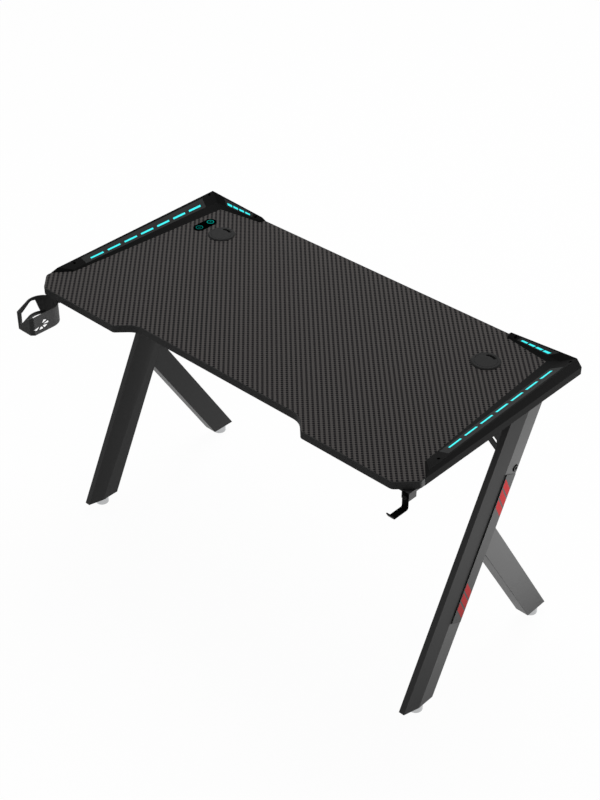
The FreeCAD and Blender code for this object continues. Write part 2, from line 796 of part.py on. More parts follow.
CAP_PLACES = {
    "front": ("-rail_cap_thick", "0"),
    "rear": (RAIL_LONG, RAIL_LONG + " - rail_cap_plug"),
}
caps = []
for end, (plate_y, plug_y) in CAP_PLACES.items():
    plate = box("cap_plate_" + end, "leg_width", "rail_cap_thick", "rail_height", "0", plate_y)
    plug = box("cap_plug_" + end, PLUG_WIDE, "rail_cap_plug", PLUG_HIGH, "rail_wall", plug_y, "rail_wall")
    caps.append(union("cap_" + end, plate, plug))
pair("rail_caps", put(group("cap_group", *caps), RAIL_X, RAIL_Y, RAIL_Z))

# Main leg: a tube with a tapered nose, swept along a leaning line. Its section is
# drawn level, so both ends are cut level.
LEG_Y = "(%s + leg_setback)" % FRONT_Y
LEAN = "(leg_run / %s)" % LEG_RISE
TAPER = "((leg_width - leg_nose) / 2 / leg_nose_run)"
SLANT = "sqrt(1 + %s * %s)" % (TAPER, TAPER)


def leg_section(name, wall):
    """Level section of the main leg, drawn in by the wall."""
    half = "(leg_width / 2 - (%s))" % wall
    nose = "(leg_nose / 2 + %s * (%s) - (%s) * %s)" % (TAPER, wall, wall, SLANT)
    shoulder = "((leg_width / 2 - (%s) + (%s) * %s - leg_nose / 2) / %s)" % (wall, wall, SLANT, TAPER)
    heel = "(leg_depth - (%s))" % wall
    sketch = doc.addObject("Sketcher::SketchObject", name)
    right = [(nose, wall), (half, shoulder), (half, heel)]
    left = [("-" + x, y) for x, y in reversed(right)]
    polygon(sketch, right + left)
    return sketch


def leaning(name, sketch, rise):
    """A level section swept along the main leg's lean."""
    sweep = doc.addObject("Part::Extrusion", name)
    sweep.Base = sketch
    sweep.DirMode = "Custom"
    sweep.Solid = True
    sweep.setExpression("Dir.x", "0")
    sweep.setExpression("Dir.y", bind("%s * (%s)" % (LEAN, rise)))
    sweep.setExpression("Dir.z", bind(rise))
    return sweep


BOLT_RISE = "(%s - bolt_drop)" % LEG_RISE
BOLT_Y = "(%s * %s + leg_depth - bolt_back_gap)" % (LEAN, BOLT_RISE)
leg_outer = leaning("leg_outer", leg_section("leg_outer_section", "0"), LEG_RISE)
leg_inner = leaning("leg_inner", leg_section("leg_inner_section", "leg_wall"), LEG_RISE)
OUTWARD = Vector(1, 0, 0)
bolt_access = rod("bolt_access_hole", "bolt_access", "leg_width / 2", "0", BOLT_Y, BOLT_RISE, OUTWARD)
bolt_pass = rod("bolt_pass_hole", "bolt_thread + screw_gap * 2", "leg_width",
                "-leg_width / 2", BOLT_Y, BOLT_RISE, OUTWARD)
leg = cut("leg", leg_outer, leg_inner, bolt_access, bolt_pass)
pair("main_leg", put(leg, LEG_X, LEG_Y, "foot_height"))

# Rear leg: a tube whose side view runs from the floor up to the main leg's back.
BACK_SLOPE = "(rear_leg_run / rear_leg_rise)"
HEEL_Y = "(desk_depth - leg_setback - rear_leg_heel)"
TOE_Y = "(%s - rear_leg_depth)" % HEEL_Y


def on_leg(foot_y):
    """Where a rear leg's edge from the floor meets the main leg's back."""
    rise = "((%s - leg_depth) / (%s + %s))" % (foot_y, LEAN, BACK_SLOPE)
    return "(leg_depth + %s * %s)" % (LEAN, rise), rise


def rear_profile(inset):
    """Side view of the rear leg, drawn in along its two long edges."""
    heel = "(%s - (%s))" % (HEEL_Y, inset)
    toe = "(%s + (%s))" % (TOE_Y, inset)
    return [(toe, "0"), (heel, "0"), on_leg(heel), on_leg(toe)]


rear_leg = doc.addObject("PartDesign::Body", "rear_leg")
rear_outer = sketch_in(rear_leg, "YZ_Plane", "rear_leg_profile")
polygon(rear_outer, rear_profile("0"))
pad(rear_leg, rear_outer, "leg_width", middle=True)
rear_inner = sketch_in(rear_leg, "YZ_Plane", "rear_leg_hollow")
polygon(rear_inner, rear_profile("leg_wall"))
pocket(rear_leg, rear_inner, "leg_width - leg_wall * 2", middle=True)
pair("rear_leg", put(rear_leg, LEG_X, LEG_Y, "foot_height"))

# Badge plate on the right leg's outer side, turned along the leg.
AXIS_LONG = "sqrt(1 + %s * %s)" % (LEAN, LEAN)
badge = doc.addObject("PartDesign::Body", "badge")
badge_sketch = sketch_in(badge, "YZ_Plane", "badge_outline")
BADGE_TOP = "(%s - badge_bolt_gap)" % BOLT_RISE
badge_corners = []
for mid_z, side in (("badge_low", "-"), ("badge_low", "+"), (BADGE_TOP, "+"), (BADGE_TOP, "-")):
    mid_y = "((leg_nose_run + leg_depth) / 2 + %s * %s)" % (LEAN, mid_z)
    corner_y = "%s %s badge_width / 2 / %s" % (mid_y, side, AXIS_LONG)
    corner_z = "%s - (0 %s badge_width / 2 * %s / %s)" % (mid_z, side, LEAN, AXIS_LONG)
    badge_corners.append((corner_y, corner_z))
polygon(badge_sketch, badge_corners)
pad(badge, badge_sketch, "badge_thick")
node("right_leg_badge", put(badge, LEG_X + " + leg_width / 2", LEG_Y, "foot_height"))

# Shoulder bolt: it bears on the leg's inner wall and clamps the gusset.
BOLT_SEAT = "(%s + leg_wall)" % RAIL_X
BOLT_LONG = "(leg_width - leg_wall + bolt_proud)"
TAIL = "(leg_wall + gusset_thick + bolt_nut_thick + bolt_proud)"
bolt_profile = [
    ("-" + TAIL, "0"),
    ("-" + TAIL, "bolt_thread / 2"),
    ("0", "bolt_thread / 2"),
    ("0", "bolt_shoulder / 2"),
    (BOLT_LONG, "bolt_shoulder / 2"),
    (BOLT_LONG, "0"),
]
BOLT_YZ = ("%s + %s" % (LEG_Y, BOLT_Y), "foot_height + " + BOLT_RISE)
bolt = revolve("leg_bolt", bolt_profile, "XY_Plane", "H_Axis")
nut_blank = hexagon("leg_nut_blank", "bolt_nut_width", "bolt_nut_thick",
                    "-leg_wall - gusset_thick - bolt_nut_thick", along=OUTWARD)
nut_bore = rod("leg_nut_bore", "bolt_thread + screw_gap", TAIL, "-" + TAIL, along=OUTWARD)
bolt_group = group("leg_bolt_group", bolt, cut("leg_nut", nut_blank, nut_bore))
pair("leg_bolt", put(bolt_group, BOLT_SEAT, *BOLT_YZ))

# Gusset: a slotted corner plate with a flange against the leg's inner side. It is
# drawn in the plane of the plate, from the top corner at the leg.
GUSSET_Y = "(%s + %s - gusset_flange / 2)" % (LEG_Y, BOLT_Y)
HYPOT = "sqrt(gusset_rise * gusset_rise + gusset_run * gusset_run)"
gusset = doc.addObject("PartDesign::Body", "gusset")
plate_sketch = sketch_in(gusset, "XZ_Plane", "gusset_plate")
polygon(plate_sketch, [("0", "0"), ("-gusset_run", "0"), ("0", "-gusset_rise")])
pad(gusset, plate_sketch, "gusset_thick", back=True)
flange_sketch = sketch_in(gusset, "YZ_Plane", "gusset_flange_plate")
FLANGE_LOW = "(bolt_drop + bolt_access)"
flange_top = [("0", "0"), ("gusset_flange", "0")]
flange_foot = [("gusset_flange", "-" + FLANGE_LOW), ("0", "-" + FLANGE_LOW)]
polygon(flange_sketch, flange_top + flange_foot)
pad(gusset, flange_sketch, "gusset_thick", back=True)
slot_sketch = sketch_in(gusset, "XZ_Plane", "gusset_slots")
for number in range(GUSSET_SLOT_COUNT):
    deep = "(gusset_slot_first + gusset_slot_pitch * %d)" % number
    corners = []
    for edge in ("-", "+"):
        band_deep = "(%s %s gusset_slot_width / 2)" % (deep, edge)
        drop = "(gusset_rise - %s * %s / gusset_run)" % (band_deep, HYPOT)
        slope = "(gusset_rise / gusset_run)"
        high = ("-(%s - gusset_slot_margin) / %s" % (drop, slope), "-gusset_slot_margin")
        low = ("-gusset_slot_margin", "-(%s - gusset_slot_margin * %s)" % (drop, slope))
        corners.append((high, low))
    polygon(slot_sketch, [corners[0][0], corners[0][1], corners[1][1], corners[1][0]])
pocket(gusset, slot_sketch, "gusset_thick * 3", middle=True)
hole_sketch = sketch_in(gusset, "YZ_Plane", "gusset_bolt_hole")
circle(hole_sketch, "bolt_thread / 2 + screw_gap", "gusset_flange / 2", "-bolt_drop")
pocket(gusset, hole_sketch, "gusset_thick * 3", middle=True)
BACKWARD = Vector(0, 1, 0)
BEAM_BOLT_COUNT = 2
gusset_holes = []
beam_bolts = []
for number in range(BEAM_BOLT_COUNT):
    bolt_x = "-beam_bolt_spacing / 2 - beam_bolt_spacing * %d" % number
    bolt_z = "-beam_bolt_head * 1.5"
    gusset_holes.append((bolt_x, bolt_z))
    grip = "(gusset_thick + beam_depth)"
    shank = rod("beam_shank_%d" % number, "beam_bolt_shank", grip + " + beam_bolt_head_thick",
                bolt_x, "0", bolt_z, BACKWARD)
    head = rod("beam_head_%d" % number, "beam_bolt_head", "beam_bolt_head_thick",
               bolt_x, "-beam_bolt_head_thick", bolt_z, BACKWARD)
    nut = hexagon("beam_nut_%d" % number, "beam_bolt_head", "beam_bolt_head_thick",
                  bolt_x, grip, bolt_z, BACKWARD)
    beam_bolts.append(union("beam_bolt_%d" % number, shank, head, nut))
gusset_sketch = sketch_in(gusset, "XZ_Plane", "gusset_beam_holes")
for hole_x, hole_z in gusset_holes:
    circle(gusset_sketch, "beam_bolt_shank / 2 + screw_gap", hole_x, hole_z)
pocket(gusset, gusset_sketch, "gusset_thick * 3", middle=True)
GUSSET_AT = (RAIL_X, GUSSET_Y, RAIL_Z)
pair("gusset", put(gusset, *GUSSET_AT))
pair("beam_bolts", put(group("beam_bolt_group", *beam_bolts), *GUSSET_AT))

# Cross beam behind the gussets, from flange to flange.
BEAM_HALF = "(%s - gusset_thick)" % RAIL_X
BEAM_LONG = BEAM_HALF + " * 2"
beam_solid = box("beam_solid", BEAM_LONG, "beam_depth", "beam_height", "-" + BEAM_HALF, "0", "-beam_height")
beam_room = box("beam_room", BEAM_LONG, "beam_depth - beam_wall * 2", "beam_height - beam_wall * 2",
                "-" + BEAM_HALF, "beam_wall", "beam_wall - beam_height")
beam_holes = []
for number, (hole_x, hole_z) in enumerate(gusset_holes):
    for side, sign in (("right", ""), ("left", "-")):
        spot_x = "%s(%s + (%s))" % (sign, RAIL_X, hole_x)
        beam_holes.append(rod("beam_hole_%s_%d" % (side, number), "beam_bolt_shank + screw_gap * 2",
                              "beam_depth", spot_x, "0", hole_z, BACKWARD))
beam = cut("beam", beam_solid, beam_room, *beam_holes)
node("cross_beam", put(beam, "0", GUSSET_Y + " + gusset_thick", RAIL_Z))

# End plates in the leg feet carry a threaded boss for the levelling feet.
FRONT_FOOT_Y = "(foot_front_setback - leg_setback)"
REAR_FOOT_Y = "(desk_depth - leg_setback - foot_rear_setback)"
front_plate = leaning("front_foot_plate", leg_section("front_plate_section", "leg_wall"), "foot_plate_thick")
rear_plate = doc.addObject("PartDesign::Body", "rear_foot_plate")
rear_plate_sketch = sketch_in(rear_plate, "YZ_Plane", "rear_plate_profile")
PLATE_SHIFT = "%s * foot_plate_thick" % BACK_SLOPE
polygon(rear_plate_sketch, [
    (TOE_Y + " + leg_wall", "0"),
    (HEEL_Y + " - leg_wall", "0"),
    ("%s - leg_wall - %s" % (HEEL_Y, PLATE_SHIFT), "foot_plate_thick"),
    ("%s + leg_wall - %s" % (TOE_Y, PLATE_SHIFT), "foot_plate_thick"),
])
pad(rear_plate, rear_plate_sketch, "leg_width - leg_wall * 2", middle=True)
foot_profile = [
    ("0", "0"),
    ("foot_width / 2 - foot_chamfer", "0"),
    ("foot_width / 2", "foot_chamfer"),
    ("foot_width / 2", "foot_height - running_gap"),
    ("foot_stem / 2", "foot_height - running_gap"),
    ("foot_stem / 2", "foot_height + foot_stem_length"),
    ("0", "foot_height + foot_stem_length"),
]
for place, plate, foot_y in (("front", front_plate, FRONT_FOOT_Y), ("rear", rear_plate, REAR_FOOT_Y)):
    boss = rod(place + "_foot_boss", "foot_boss", "foot_boss_height", "0", foot_y)
    bore = rod(place + "_foot_bore", "foot_stem + running_gap * 2", "foot_boss_height", "0", foot_y)
    end_plate = cut(place + "_foot_end", union(place + "_foot_whole", plate, boss), bore)
    pair(place + "_foot_plate", put(end_plate, LEG_X, LEG_Y, "foot_height"))
    foot = revolve(place + "_foot", foot_profile)
    pair(place + "_levelling_foot", put(foot, LEG_X, "%s + %s" % (LEG_Y, foot_y), "0"))


def wood_screws(name, spots, under):
    """Pan-head screws driven up into the board through a plate of some thickness."""
    screws = []
    for number, (x, y) in enumerate(spots):
        shank = rod("%s_shank_%d" % (name, number), "small_screw_shank", under + " + small_screw_bite",
                    x, y, "-" + under)
        head = rod("%s_head_%d" % (name, number), "small_screw_head", "small_screw_head_thick",
                   x, y, "-%s - small_screw_head_thick" % under)
        screws.append(union("%s_%d" % (name, number), shank, head))
    return group(name, *screws)


def screw_holes(name, spots, under):
    """Clearance holes for the same screws."""
    holes = []
    for number, (x, y) in enumerate(spots):
        hole_name = "%s_%d" % (name, number)
        holes.append(rod(hole_name, "small_screw_shank + screw_gap * 2", under, x, y, "-" + under))
    return holes


# Cup holder: a moulded ring whose front is drawn out to a cut-away prow. It is
# drawn from the ring's middle, upward from its underside.
CUP_SHARES = {
    "window": ((-0.77, 0.1), (0.283, 0.1), (0.138, 0.816), (-0.06, 0.857),
               (-0.215, 0.806), (-0.46, 0.749), (-0.754, 0.694)),
    "notch": ((-0.22, 1.2), (-0.22, 0.25), (-0.06, 0.373), (0.31, 0.588),
              (0.45, 0.816), (0.9, 0.99), (0.9, 1.2)),
    "web": (0.84,),
}
FAN_HUB_SHARES = (-0.56, 0.42)
FAN_REACH_SHARES = (0.38, 0.27)
FAN_HUB_SHARE = 0.34
FAN_ANGLES = (52, 4, -44, -92, -140)
FAN_HALF_ANGLE = 18
CUP_SLOPE = "((cup_left_side - cup_left_front) / (cup_front_out - cup_left_back))"


def cup_plan(inset):
    """Plan of the prow, drawn in by an even inset."""
    side = "(cup_radius - (%s))" % inset
    slip = "(%s) * %r" % (inset, OCTANT_SHARE)
    slant = "(%s) * (sqrt(1 + %s * %s) - %s)" % (inset, CUP_SLOPE, CUP_SLOPE, CUP_SLOPE)
    front = "-(cup_front_out - (%s))" % inset
    shrink = "(1 - (%s) / cup_radius)" % inset
    return [
        (side, "0"),
        (side, "-(cup_front_out - cup_corner) + " + slip),
        ("cup_radius - cup_corner - " + slip, front),
        ("-cup_left_front + " + slant, front),
        ("-cup_left_side * " + shrink, "-cup_left_back * " + shrink),
    ]


cup = doc.addObject("PartDesign::Body", "cup")
for name, inset in (("cup_outer", "0"), ("cup_room", "cup_wall"), ("cup_drain", "cup_wall + cup_lip")):
    round_sketch = sketch_in(cup, "XY_Plane", name + "_ring")
    circle(round_sketch, "cup_radius - (%s)" % inset)
    prow_sketch = sketch_in(cup, "XY_Plane", name + "_prow")
    polygon(prow_sketch, cup_plan(inset))
    for sketch in (round_sketch, prow_sketch):
        if name == "cup_outer":
            pad(cup, sketch, "cup_height")
        elif name == "cup_room":
            lift(sketch, "cup_lip_thick")
            pocket(cup, sketch, "cup_height", back=True)
        else:
            pocket(cup, sketch, "cup_lip_thick", back=True)
window_sketch = sketch_in(cup, "YZ_Plane", "cup_window")
polygon(window_sketch, [("cup_front_out * %r" % y, "cup_height * %r" % z) for y, z in CUP_SHARES["window"]])
pocket(cup, window_sketch, "cup_front_out")
notch_sketch = sketch_in(cup, "XZ_Plane", "cup_notch")
polygon(notch_sketch, [("cup_radius * %r" % x, "cup_height * %r" % z) for x, z in CUP_SHARES["notch"]])
pocket(cup, notch_sketch, "cup_front_out", back=True)
fan_sketch = sketch_in(cup, "YZ_Plane", "cup_fan")
for angle in FAN_ANGLES:
    wedge = []
    for reach, turn in ((FAN_HUB_SHARE, -1), (1, -1), (1, 1), (FAN_HUB_SHARE, 1)):
        heading = math.radians(angle + turn * FAN_HALF_ANGLE)
        wedge_y = FAN_HUB_SHARES[0] + FAN_REACH_SHARES[0] * reach * math.cos(heading)
        wedge_z = FAN_HUB_SHARES[1] + FAN_REACH_SHARES[1] * reach * math.sin(heading)
        wedge.append(("cup_front_out * %r" % wedge_y, "cup_height * %r" % wedge_z))
    polygon(fan_sketch, wedge)
pocket(cup, fan_sketch, "cup_radius", back=True)

CUP_TOP = "(cup_height + cup_drop)"
TAB_Y = "(cup_radius - cup_wall)"
cup_tab = box("cup_tab", "cup_tab_width", "cup_tab_length", "cup_tab_thick", "-cup_tab_width / 2", TAB_Y,
              CUP_TOP + " - cup_tab_thick")
WEB_LOW = "(cup_height * %r)" % CUP_SHARES["web"][0]
cup_web = box("cup_web", "cup_radius", "cup_web_depth", CUP_TOP + " - " + WEB_LOW, "-cup_radius / 2", TAB_Y,
              WEB_LOW)
TAB_SCREW_Y = "(%s + cup_tab_length - cup_screw_edge)" % TAB_Y
cup_spots = [("cup_screw_spacing / 2", TAB_SCREW_Y), ("-cup_screw_spacing / 2", TAB_SCREW_Y)]
cup_holes = group("cup_holes", *screw_holes("cup_hole", cup_spots, "cup_tab_thick"))
put(cup_holes, z=CUP_TOP)
cup_whole = cut("cup_whole", union("cup_body", cup, cup_tab, cup_web), cup_holes)
CUP_AT = ("-desk_length / 2 + cup_side", FRONT_Y + " - cup_centre_out")
node("cup_holder", put(cup_whole, *CUP_AT, "%s - %s" % (UNDER_Z, CUP_TOP)))
node("cup_holder_screws", put(wood_screws("cup_screws", cup_spots, "cup_tab_thick"), *CUP_AT, UNDER_Z))

# Headphone hook: a plate under the board with a tab, and a folded strip screwed to
# the tab. Both are drawn from the strip's front face at the board's underside.
HOOK_AT = ("desk_length / 2 - hook_side", FRONT_Y + " + hook_front", UNDER_Z)
hook_plate = box("hook_plate", "hook_plate_width", "hook_plate_depth", "hook_thick",
                 "hook_width / 2 - hook_plate_width", "hook_thick", "-hook_thick")
hook_tab = box("hook_tab", "hook_tab_width", "hook_thick", "hook_tab_drop",
               "hook_width / 2 - hook_tab_width", "hook_thick", "-hook_tab_drop")
hook_cheek = box("hook_cheek_plate", "hook_cheek", "hook_plate_depth", "hook_tab_drop",
                 "hook_width / 2 - hook_cheek", "hook_thick", "-hook_tab_drop")
tab_hole = rod("hook_tab_hole", "hook_screw_shank + screw_gap * 2", "hook_thick * 4",
               "0", "-hook_thick", "-hook_screw_drop", BACKWARD)
HOOK_SCREW_Y = "(hook_plate_depth + hook_thick - small_screw_head)"
hook_spots = [("-hook_plate_width * %r" % share, HOOK_SCREW_Y) for share in HOOK_SCREW_SHARES]
hook_holes = screw_holes("hook_plate_hole", hook_spots, "hook_thick")
hook_mount = cut("hook_mount", union("hook_angle", hook_plate, hook_tab, hook_cheek), tab_hole, *hook_holes)
node("hook_mount_plate", put(hook_mount, *HOOK_AT))
node("hook_mount_screws", put(wood_screws("hook_plate_screws", hook_spots, "hook_thick"), *HOOK_AT))
hook = doc.addObject("PartDesign::Body", "hook")
hook_sketch = sketch_in(hook, "YZ_Plane", "hook_profile")
TIP_LONG = "sqrt(hook_tip_out * hook_tip_out + hook_tip_rise * hook_tip_rise)"
TIP_Y = "(hook_arm + hook_tip_out)"
TIP_Z = "(hook_drop - hook_tip_rise)"
INNER_FOLD_Y = "-hook_arm + hook_thick * (%s - hook_tip_out) / hook_tip_rise" % TIP_LONG
polygon(hook_sketch, [
    ("0", "0"),
    ("hook_thick", "0"),
    ("hook_thick", "-hook_drop"),
    ("-hook_arm", "-hook_drop"),
    ("-" + TIP_Y, "-" + TIP_Z),
    ("-%s + hook_thick * hook_tip_rise / %s" % (TIP_Y, TIP_LONG),
     "-%s + hook_thick * hook_tip_out / %s" % (TIP_Z, TIP_LONG)),
    (INNER_FOLD_Y, "-hook_drop + hook_thick"),
    ("0", "-hook_drop + hook_thick"),
])
hook_step = pad(hook, hook_sketch, "hook_width", middle=True)
inner_folds = [("0", "-hook_drop + hook_thick"), (INNER_FOLD_Y, "-hook_drop + hook_thick")]
outer_folds = [("hook_thick", "-hook_drop"), ("-hook_arm", "-hook_drop")]
hook_step = round_edges(hook, hook_step, inner_folds, "hook_bend", "hook_inner_bends", "x")
round_edges(hook, hook_step, outer_folds, "hook_bend + hook_thick", "hook_outer_bends", "x")
hook_hole_sketch = sketch_in(hook, "XZ_Plane", "hook_hole")
circle(hook_hole_sketch, "hook_screw_shank / 2 + screw_gap", "0", "-hook_screw_drop")
pocket(hook, hook_hole_sketch, "hook_thick * 3", middle=True)
node("headphone_hook", put(hook, *HOOK_AT))
hook_head = rod("hook_screw_head_disc", "hook_screw_head", "hook_screw_head_thick",
                "0", "-hook_screw_head_thick", "-hook_screw_drop", BACKWARD)
hook_shank = rod("hook_screw_bar", "hook_screw_shank", "hook_thick * 2 + hook_nut_thick * 1.3",
                 "0", "0", "-hook_screw_drop", BACKWARD)
hook_nut_blank = hexagon("hook_nut_blank", "hook_nut_width", "hook_nut_thick",
                         "0", "hook_thick * 2", "-hook_screw_drop", BACKWARD)
hook_nut_bore = rod("hook_nut_bore", "hook_screw_shank + screw_gap", "hook_nut_thick * 2",
                    "0", "hook_thick", "-hook_screw_drop", BACKWARD)
hook_nut = cut("hook_nut", hook_nut_blank, hook_nut_bore)
hook_screw = group("hook_screw", union("hook_screw_whole", hook_head, hook_shank), hook_nut)
node("hook_screw_and_nut", put(hook_screw, *HOOK_AT))

# Light controller under the board, with ears for its screws and a power inlet.
# It is drawn from the middle of its top face.
case = box("controller_case", "box_length", "box_width", "box_height",
           "-box_length / 2", "-box_width / 2", "-box_height")
ears = box("controller_ears", "box_length + box_ear * 2", "box_ear", "box_ear_thick",
           "-box_length / 2 - box_ear", "-box_ear / 2", "-box_ear_thick")
inlet = box("controller_inlet", "inlet_width", "inlet_depth", "inlet_height", "-inlet_width / 2",
            "box_width / 2 - inlet_depth", "-box_height / 2 - inlet_height / 2")
box_spots = [("box_length / 2 + box_ear / 2", "0"), ("-box_length / 2 - box_ear / 2", "0")]
box_holes = screw_holes("controller_hole", box_spots, "box_ear_thick")
controller = cut("controller", union("controller_body", case, ears), inlet, *box_holes)
BOX_AT = ("-desk_length / 2 + box_side", REAR_Y + " - box_rear", UNDER_Z)
node("light_controller", put(controller, *BOX_AT))
node("light_controller_screws", put(wood_screws("controller_screws", box_spots, "box_ear_thick"), *BOX_AT))

doc.recompute()
for obj in doc.Objects:
    if "Invalid" in obj.State or "Error" in obj.State:
        raise RuntimeError("%s did not compute" % obj.Name)
os.makedirs("parts", exist_ok=True)
for label, obj in NODES.items():
    shape = obj.Shape
    if shape.isNull() or not shape.isValid() or not shape.Solids:
        raise RuntimeError("%s has no sound solid" % label)
    shape.exportStep("parts/%s.step" % label)
print("%d sub-parts written" % len(NODES))
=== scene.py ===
# %% [markdown]
# A gaming desk: a worktop with a printed twill pattern, two faceted light housings
# along its edges, and a frame of leaning steel legs. The CAD solids carry every size.
# This lesson dresses them: each solid gets its edges softened, its finish painted by
# nodes, and the small things that a camera sees, such as screw recesses and stripes.

# %% Load the frame
import json
import math
import bmesh
import bpy
from mathutils import Matrix, Vector


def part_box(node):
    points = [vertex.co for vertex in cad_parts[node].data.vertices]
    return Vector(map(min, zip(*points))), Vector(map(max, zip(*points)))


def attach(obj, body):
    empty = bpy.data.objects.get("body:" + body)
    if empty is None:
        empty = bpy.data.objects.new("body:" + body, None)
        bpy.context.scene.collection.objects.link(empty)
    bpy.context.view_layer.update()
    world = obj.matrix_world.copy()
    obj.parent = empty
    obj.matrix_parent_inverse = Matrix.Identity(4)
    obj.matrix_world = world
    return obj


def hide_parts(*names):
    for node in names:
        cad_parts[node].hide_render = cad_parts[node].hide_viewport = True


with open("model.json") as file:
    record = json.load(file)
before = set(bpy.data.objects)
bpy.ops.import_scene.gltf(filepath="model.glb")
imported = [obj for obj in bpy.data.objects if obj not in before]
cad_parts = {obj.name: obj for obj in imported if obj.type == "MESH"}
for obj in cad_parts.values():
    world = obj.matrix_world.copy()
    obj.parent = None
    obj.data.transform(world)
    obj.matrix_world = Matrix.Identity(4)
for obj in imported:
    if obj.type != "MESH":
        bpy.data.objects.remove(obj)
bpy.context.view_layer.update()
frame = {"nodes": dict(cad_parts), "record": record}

scene = bpy.context.scene
MM = 0.001

# %% [markdown]
# The camera looks down on the right front corner of the desk. Its heading, its height
# over the horizon and its distance were solved from the corners of the worktop and the
# feet, so the desk falls in the picture where the portrait shows it. Turning the three
# axes by hand keeps the tiny roll that a track-to constraint would lose.

# %% Place the camera
PICTURE_HEIGHT = 800
FOCAL_PIXELS = 1529.0
SENSOR_HEIGHT = 24.0
HEADING = math.radians(43.4)
RISE = math.radians(35.46)
ROLL = math.radians(-0.16)
CAMERA_PLACE = Vector((2.09638, -2.15722, 2.68496))

flat_share = math.cos(RISE)
back = Vector((math.sin(HEADING) * flat_share, -math.cos(HEADING) * flat_share, math.sin(RISE)))
level = Vector((math.cos(HEADING), math.sin(HEADING), 0.0))
upright = back.cross(level)
right = level * math.cos(ROLL) + upright * math.sin(ROLL)
up = upright * math.cos(ROLL) - level * math.sin(ROLL)
eye = bpy.data.cameras.new("portrait_camera")
eye.sensor_fit = "VERTICAL"
eye.sensor_height = SENSOR_HEIGHT
eye.lens = FOCAL_PIXELS / PICTURE_HEIGHT * SENSOR_HEIGHT
camera = bpy.data.objects.new("portrait_camera", eye)
axes = Matrix((right, up, back)).transposed().to_4x4()
camera.matrix_world = Matrix.Translation(CAMERA_PLACE) @ axes
scene.collection.objects.link(camera)
scene.camera = camera
print("camera lens", round(eye.lens, 2), "mm")

# %% [markdown]
# The world, the finishes and the Geometry Nodes are all trees of nodes, and code can
# build them. Small helpers keep that short: one feeds a node, by linking sockets and
# setting plain values on its inputs, and one adds a node and feeds it. So each later line
# reads as one step of a tree.

# %% Write the node helpers
def feed(tree, node, values):
    """Links sockets to a node's inputs, and sets plain values on them."""
    for label, value in values.items():
        if isinstance(value, bpy.types.NodeSocket):
            tree.links.new(value, node.inputs[label])
        else:
            node.inputs[label].default_value = value


def add_node(tree, kind, values, operation=None):
    """Adds a node, sets its operation where it has one, and feeds it."""
    node = tree.nodes.new(kind)
    if operation:
        node.operation = operation
    feed(tree, node, values)
    return node


def math_node(tree, operation, first, second=0.0):
    """A math node whose inputs are sockets or plain numbers."""
    return add_node(tree, "ShaderNodeMath", {0: first, 1: second}, operation).outputs[0]


def mix_colours(tree, factor, first, second):
    """A colour between two others, which are sockets or plain colours."""
    mix = tree.nodes.new("ShaderNodeMix")
    mix.data_type = "RGBA"
    feed(tree, mix, {"Factor": factor, "A": first, "B": second})
    return mix.outputs["Result"]


print("helpers ready for shader trees and geometry trees")

# %% [markdown]
# The desk stands in a white studio. The world shows plain white to the camera and to
# reflections, and gives a weaker even light to everything else. A mask from the Light
# Path node tells the two apart, so a white background costs the desk no extra light.

# %% Build the studio
AMBIENT = 0.22
FULL_WHITE = (1.0, 1.0, 1.0, 1.0)
scene.view_settings.view_transform = "Standard"


def seen_directly(tree):
    """A mask for camera, glossy and transmission rays."""
    path = tree.nodes.new("ShaderNodeLightPath").outputs
    first = math_node(tree, "MAXIMUM", path["Is Camera Ray"], path["Is Glossy Ray"])
    return math_node(tree, "MAXIMUM", first, path["Is Transmission Ray"])


world = bpy.data.worlds.new("white_studio")
world.use_nodes = True
scene.world = world
sky = world.node_tree
sky.nodes.clear()
even = add_node(sky, "ShaderNodeBackground", {"Color": FULL_WHITE, "Strength": AMBIENT})
shown = add_node(sky, "ShaderNodeBackground", {"Color": FULL_WHITE, "Strength": 1.0})
sky_inputs = {0: seen_directly(sky), 1: even.outputs[0], 2: shown.outputs[0]}
sky_mix = add_node(sky, "ShaderNodeMixShader", sky_inputs)
add_node(sky, "ShaderNodeOutputWorld", {"Surface": sky_mix.outputs[0]})
print(world.name, "with even light of", AMBIENT)

# %% [markdown]
# The floor is a plain white sheet. Under lamps alone it would burn out in one place and
# turn grey in another, so most of the white that the camera sees is the floor's own. Only
# the rest comes from the lamps, and that part darkens where the desk stands in the way.
# For all other rays the floor is matt, and throws light back up to the desk.

# %% Lay the floor
FLOOR_REACH = 14.0
FLOOR_OWN_WHITE = 0.97
FLOOR_WHITE = (0.95, 0.95, 0.95, 1.0)
FLOOR_BOUNCE = (0.8, 0.8, 0.8, 1.0)

floor_finish = bpy.data.materials.new("studio_floor")
floor_finish.use_nodes = True
ground = floor_finish.node_tree
ground.nodes.clear()
floor_seen = seen_directly(ground)
matt_colour = mix_colours(ground, floor_seen, FLOOR_BOUNCE, FLOOR_WHITE)
matt = add_node(ground, "ShaderNodeBsdfDiffuse", {"Color": matt_colour})
glow = add_node(ground, "ShaderNodeEmission", {"Color": FULL_WHITE, "Strength": 1.0})
own_share = math_node(ground, "MULTIPLY", floor_seen, FLOOR_OWN_WHITE)
floor_inputs = {0: own_share, 1: matt.outputs[0], 2: glow.outputs[0]}
floor_mix = add_node(ground, "ShaderNodeMixShader", floor_inputs)
add_node(ground, "ShaderNodeOutputMaterial", {"Surface": floor_mix.outputs[0]})
floor_mesh = bpy.data.meshes.new("studio_floor")
reach = FLOOR_REACH
floor_corners = [(-reach, -reach, 0), (reach, -reach, 0), (reach, reach, 0), (-reach, reach, 0)]
floor_mesh.from_pydata(floor_corners, [], [(0, 1, 2, 3)])
floor_mesh.materials.append(floor_finish)
floor = bpy.data.objects.new("studio_floor", floor_mesh)
scene.collection.objects.link(floor)
print("studio floor", reach * 2, "m wide")

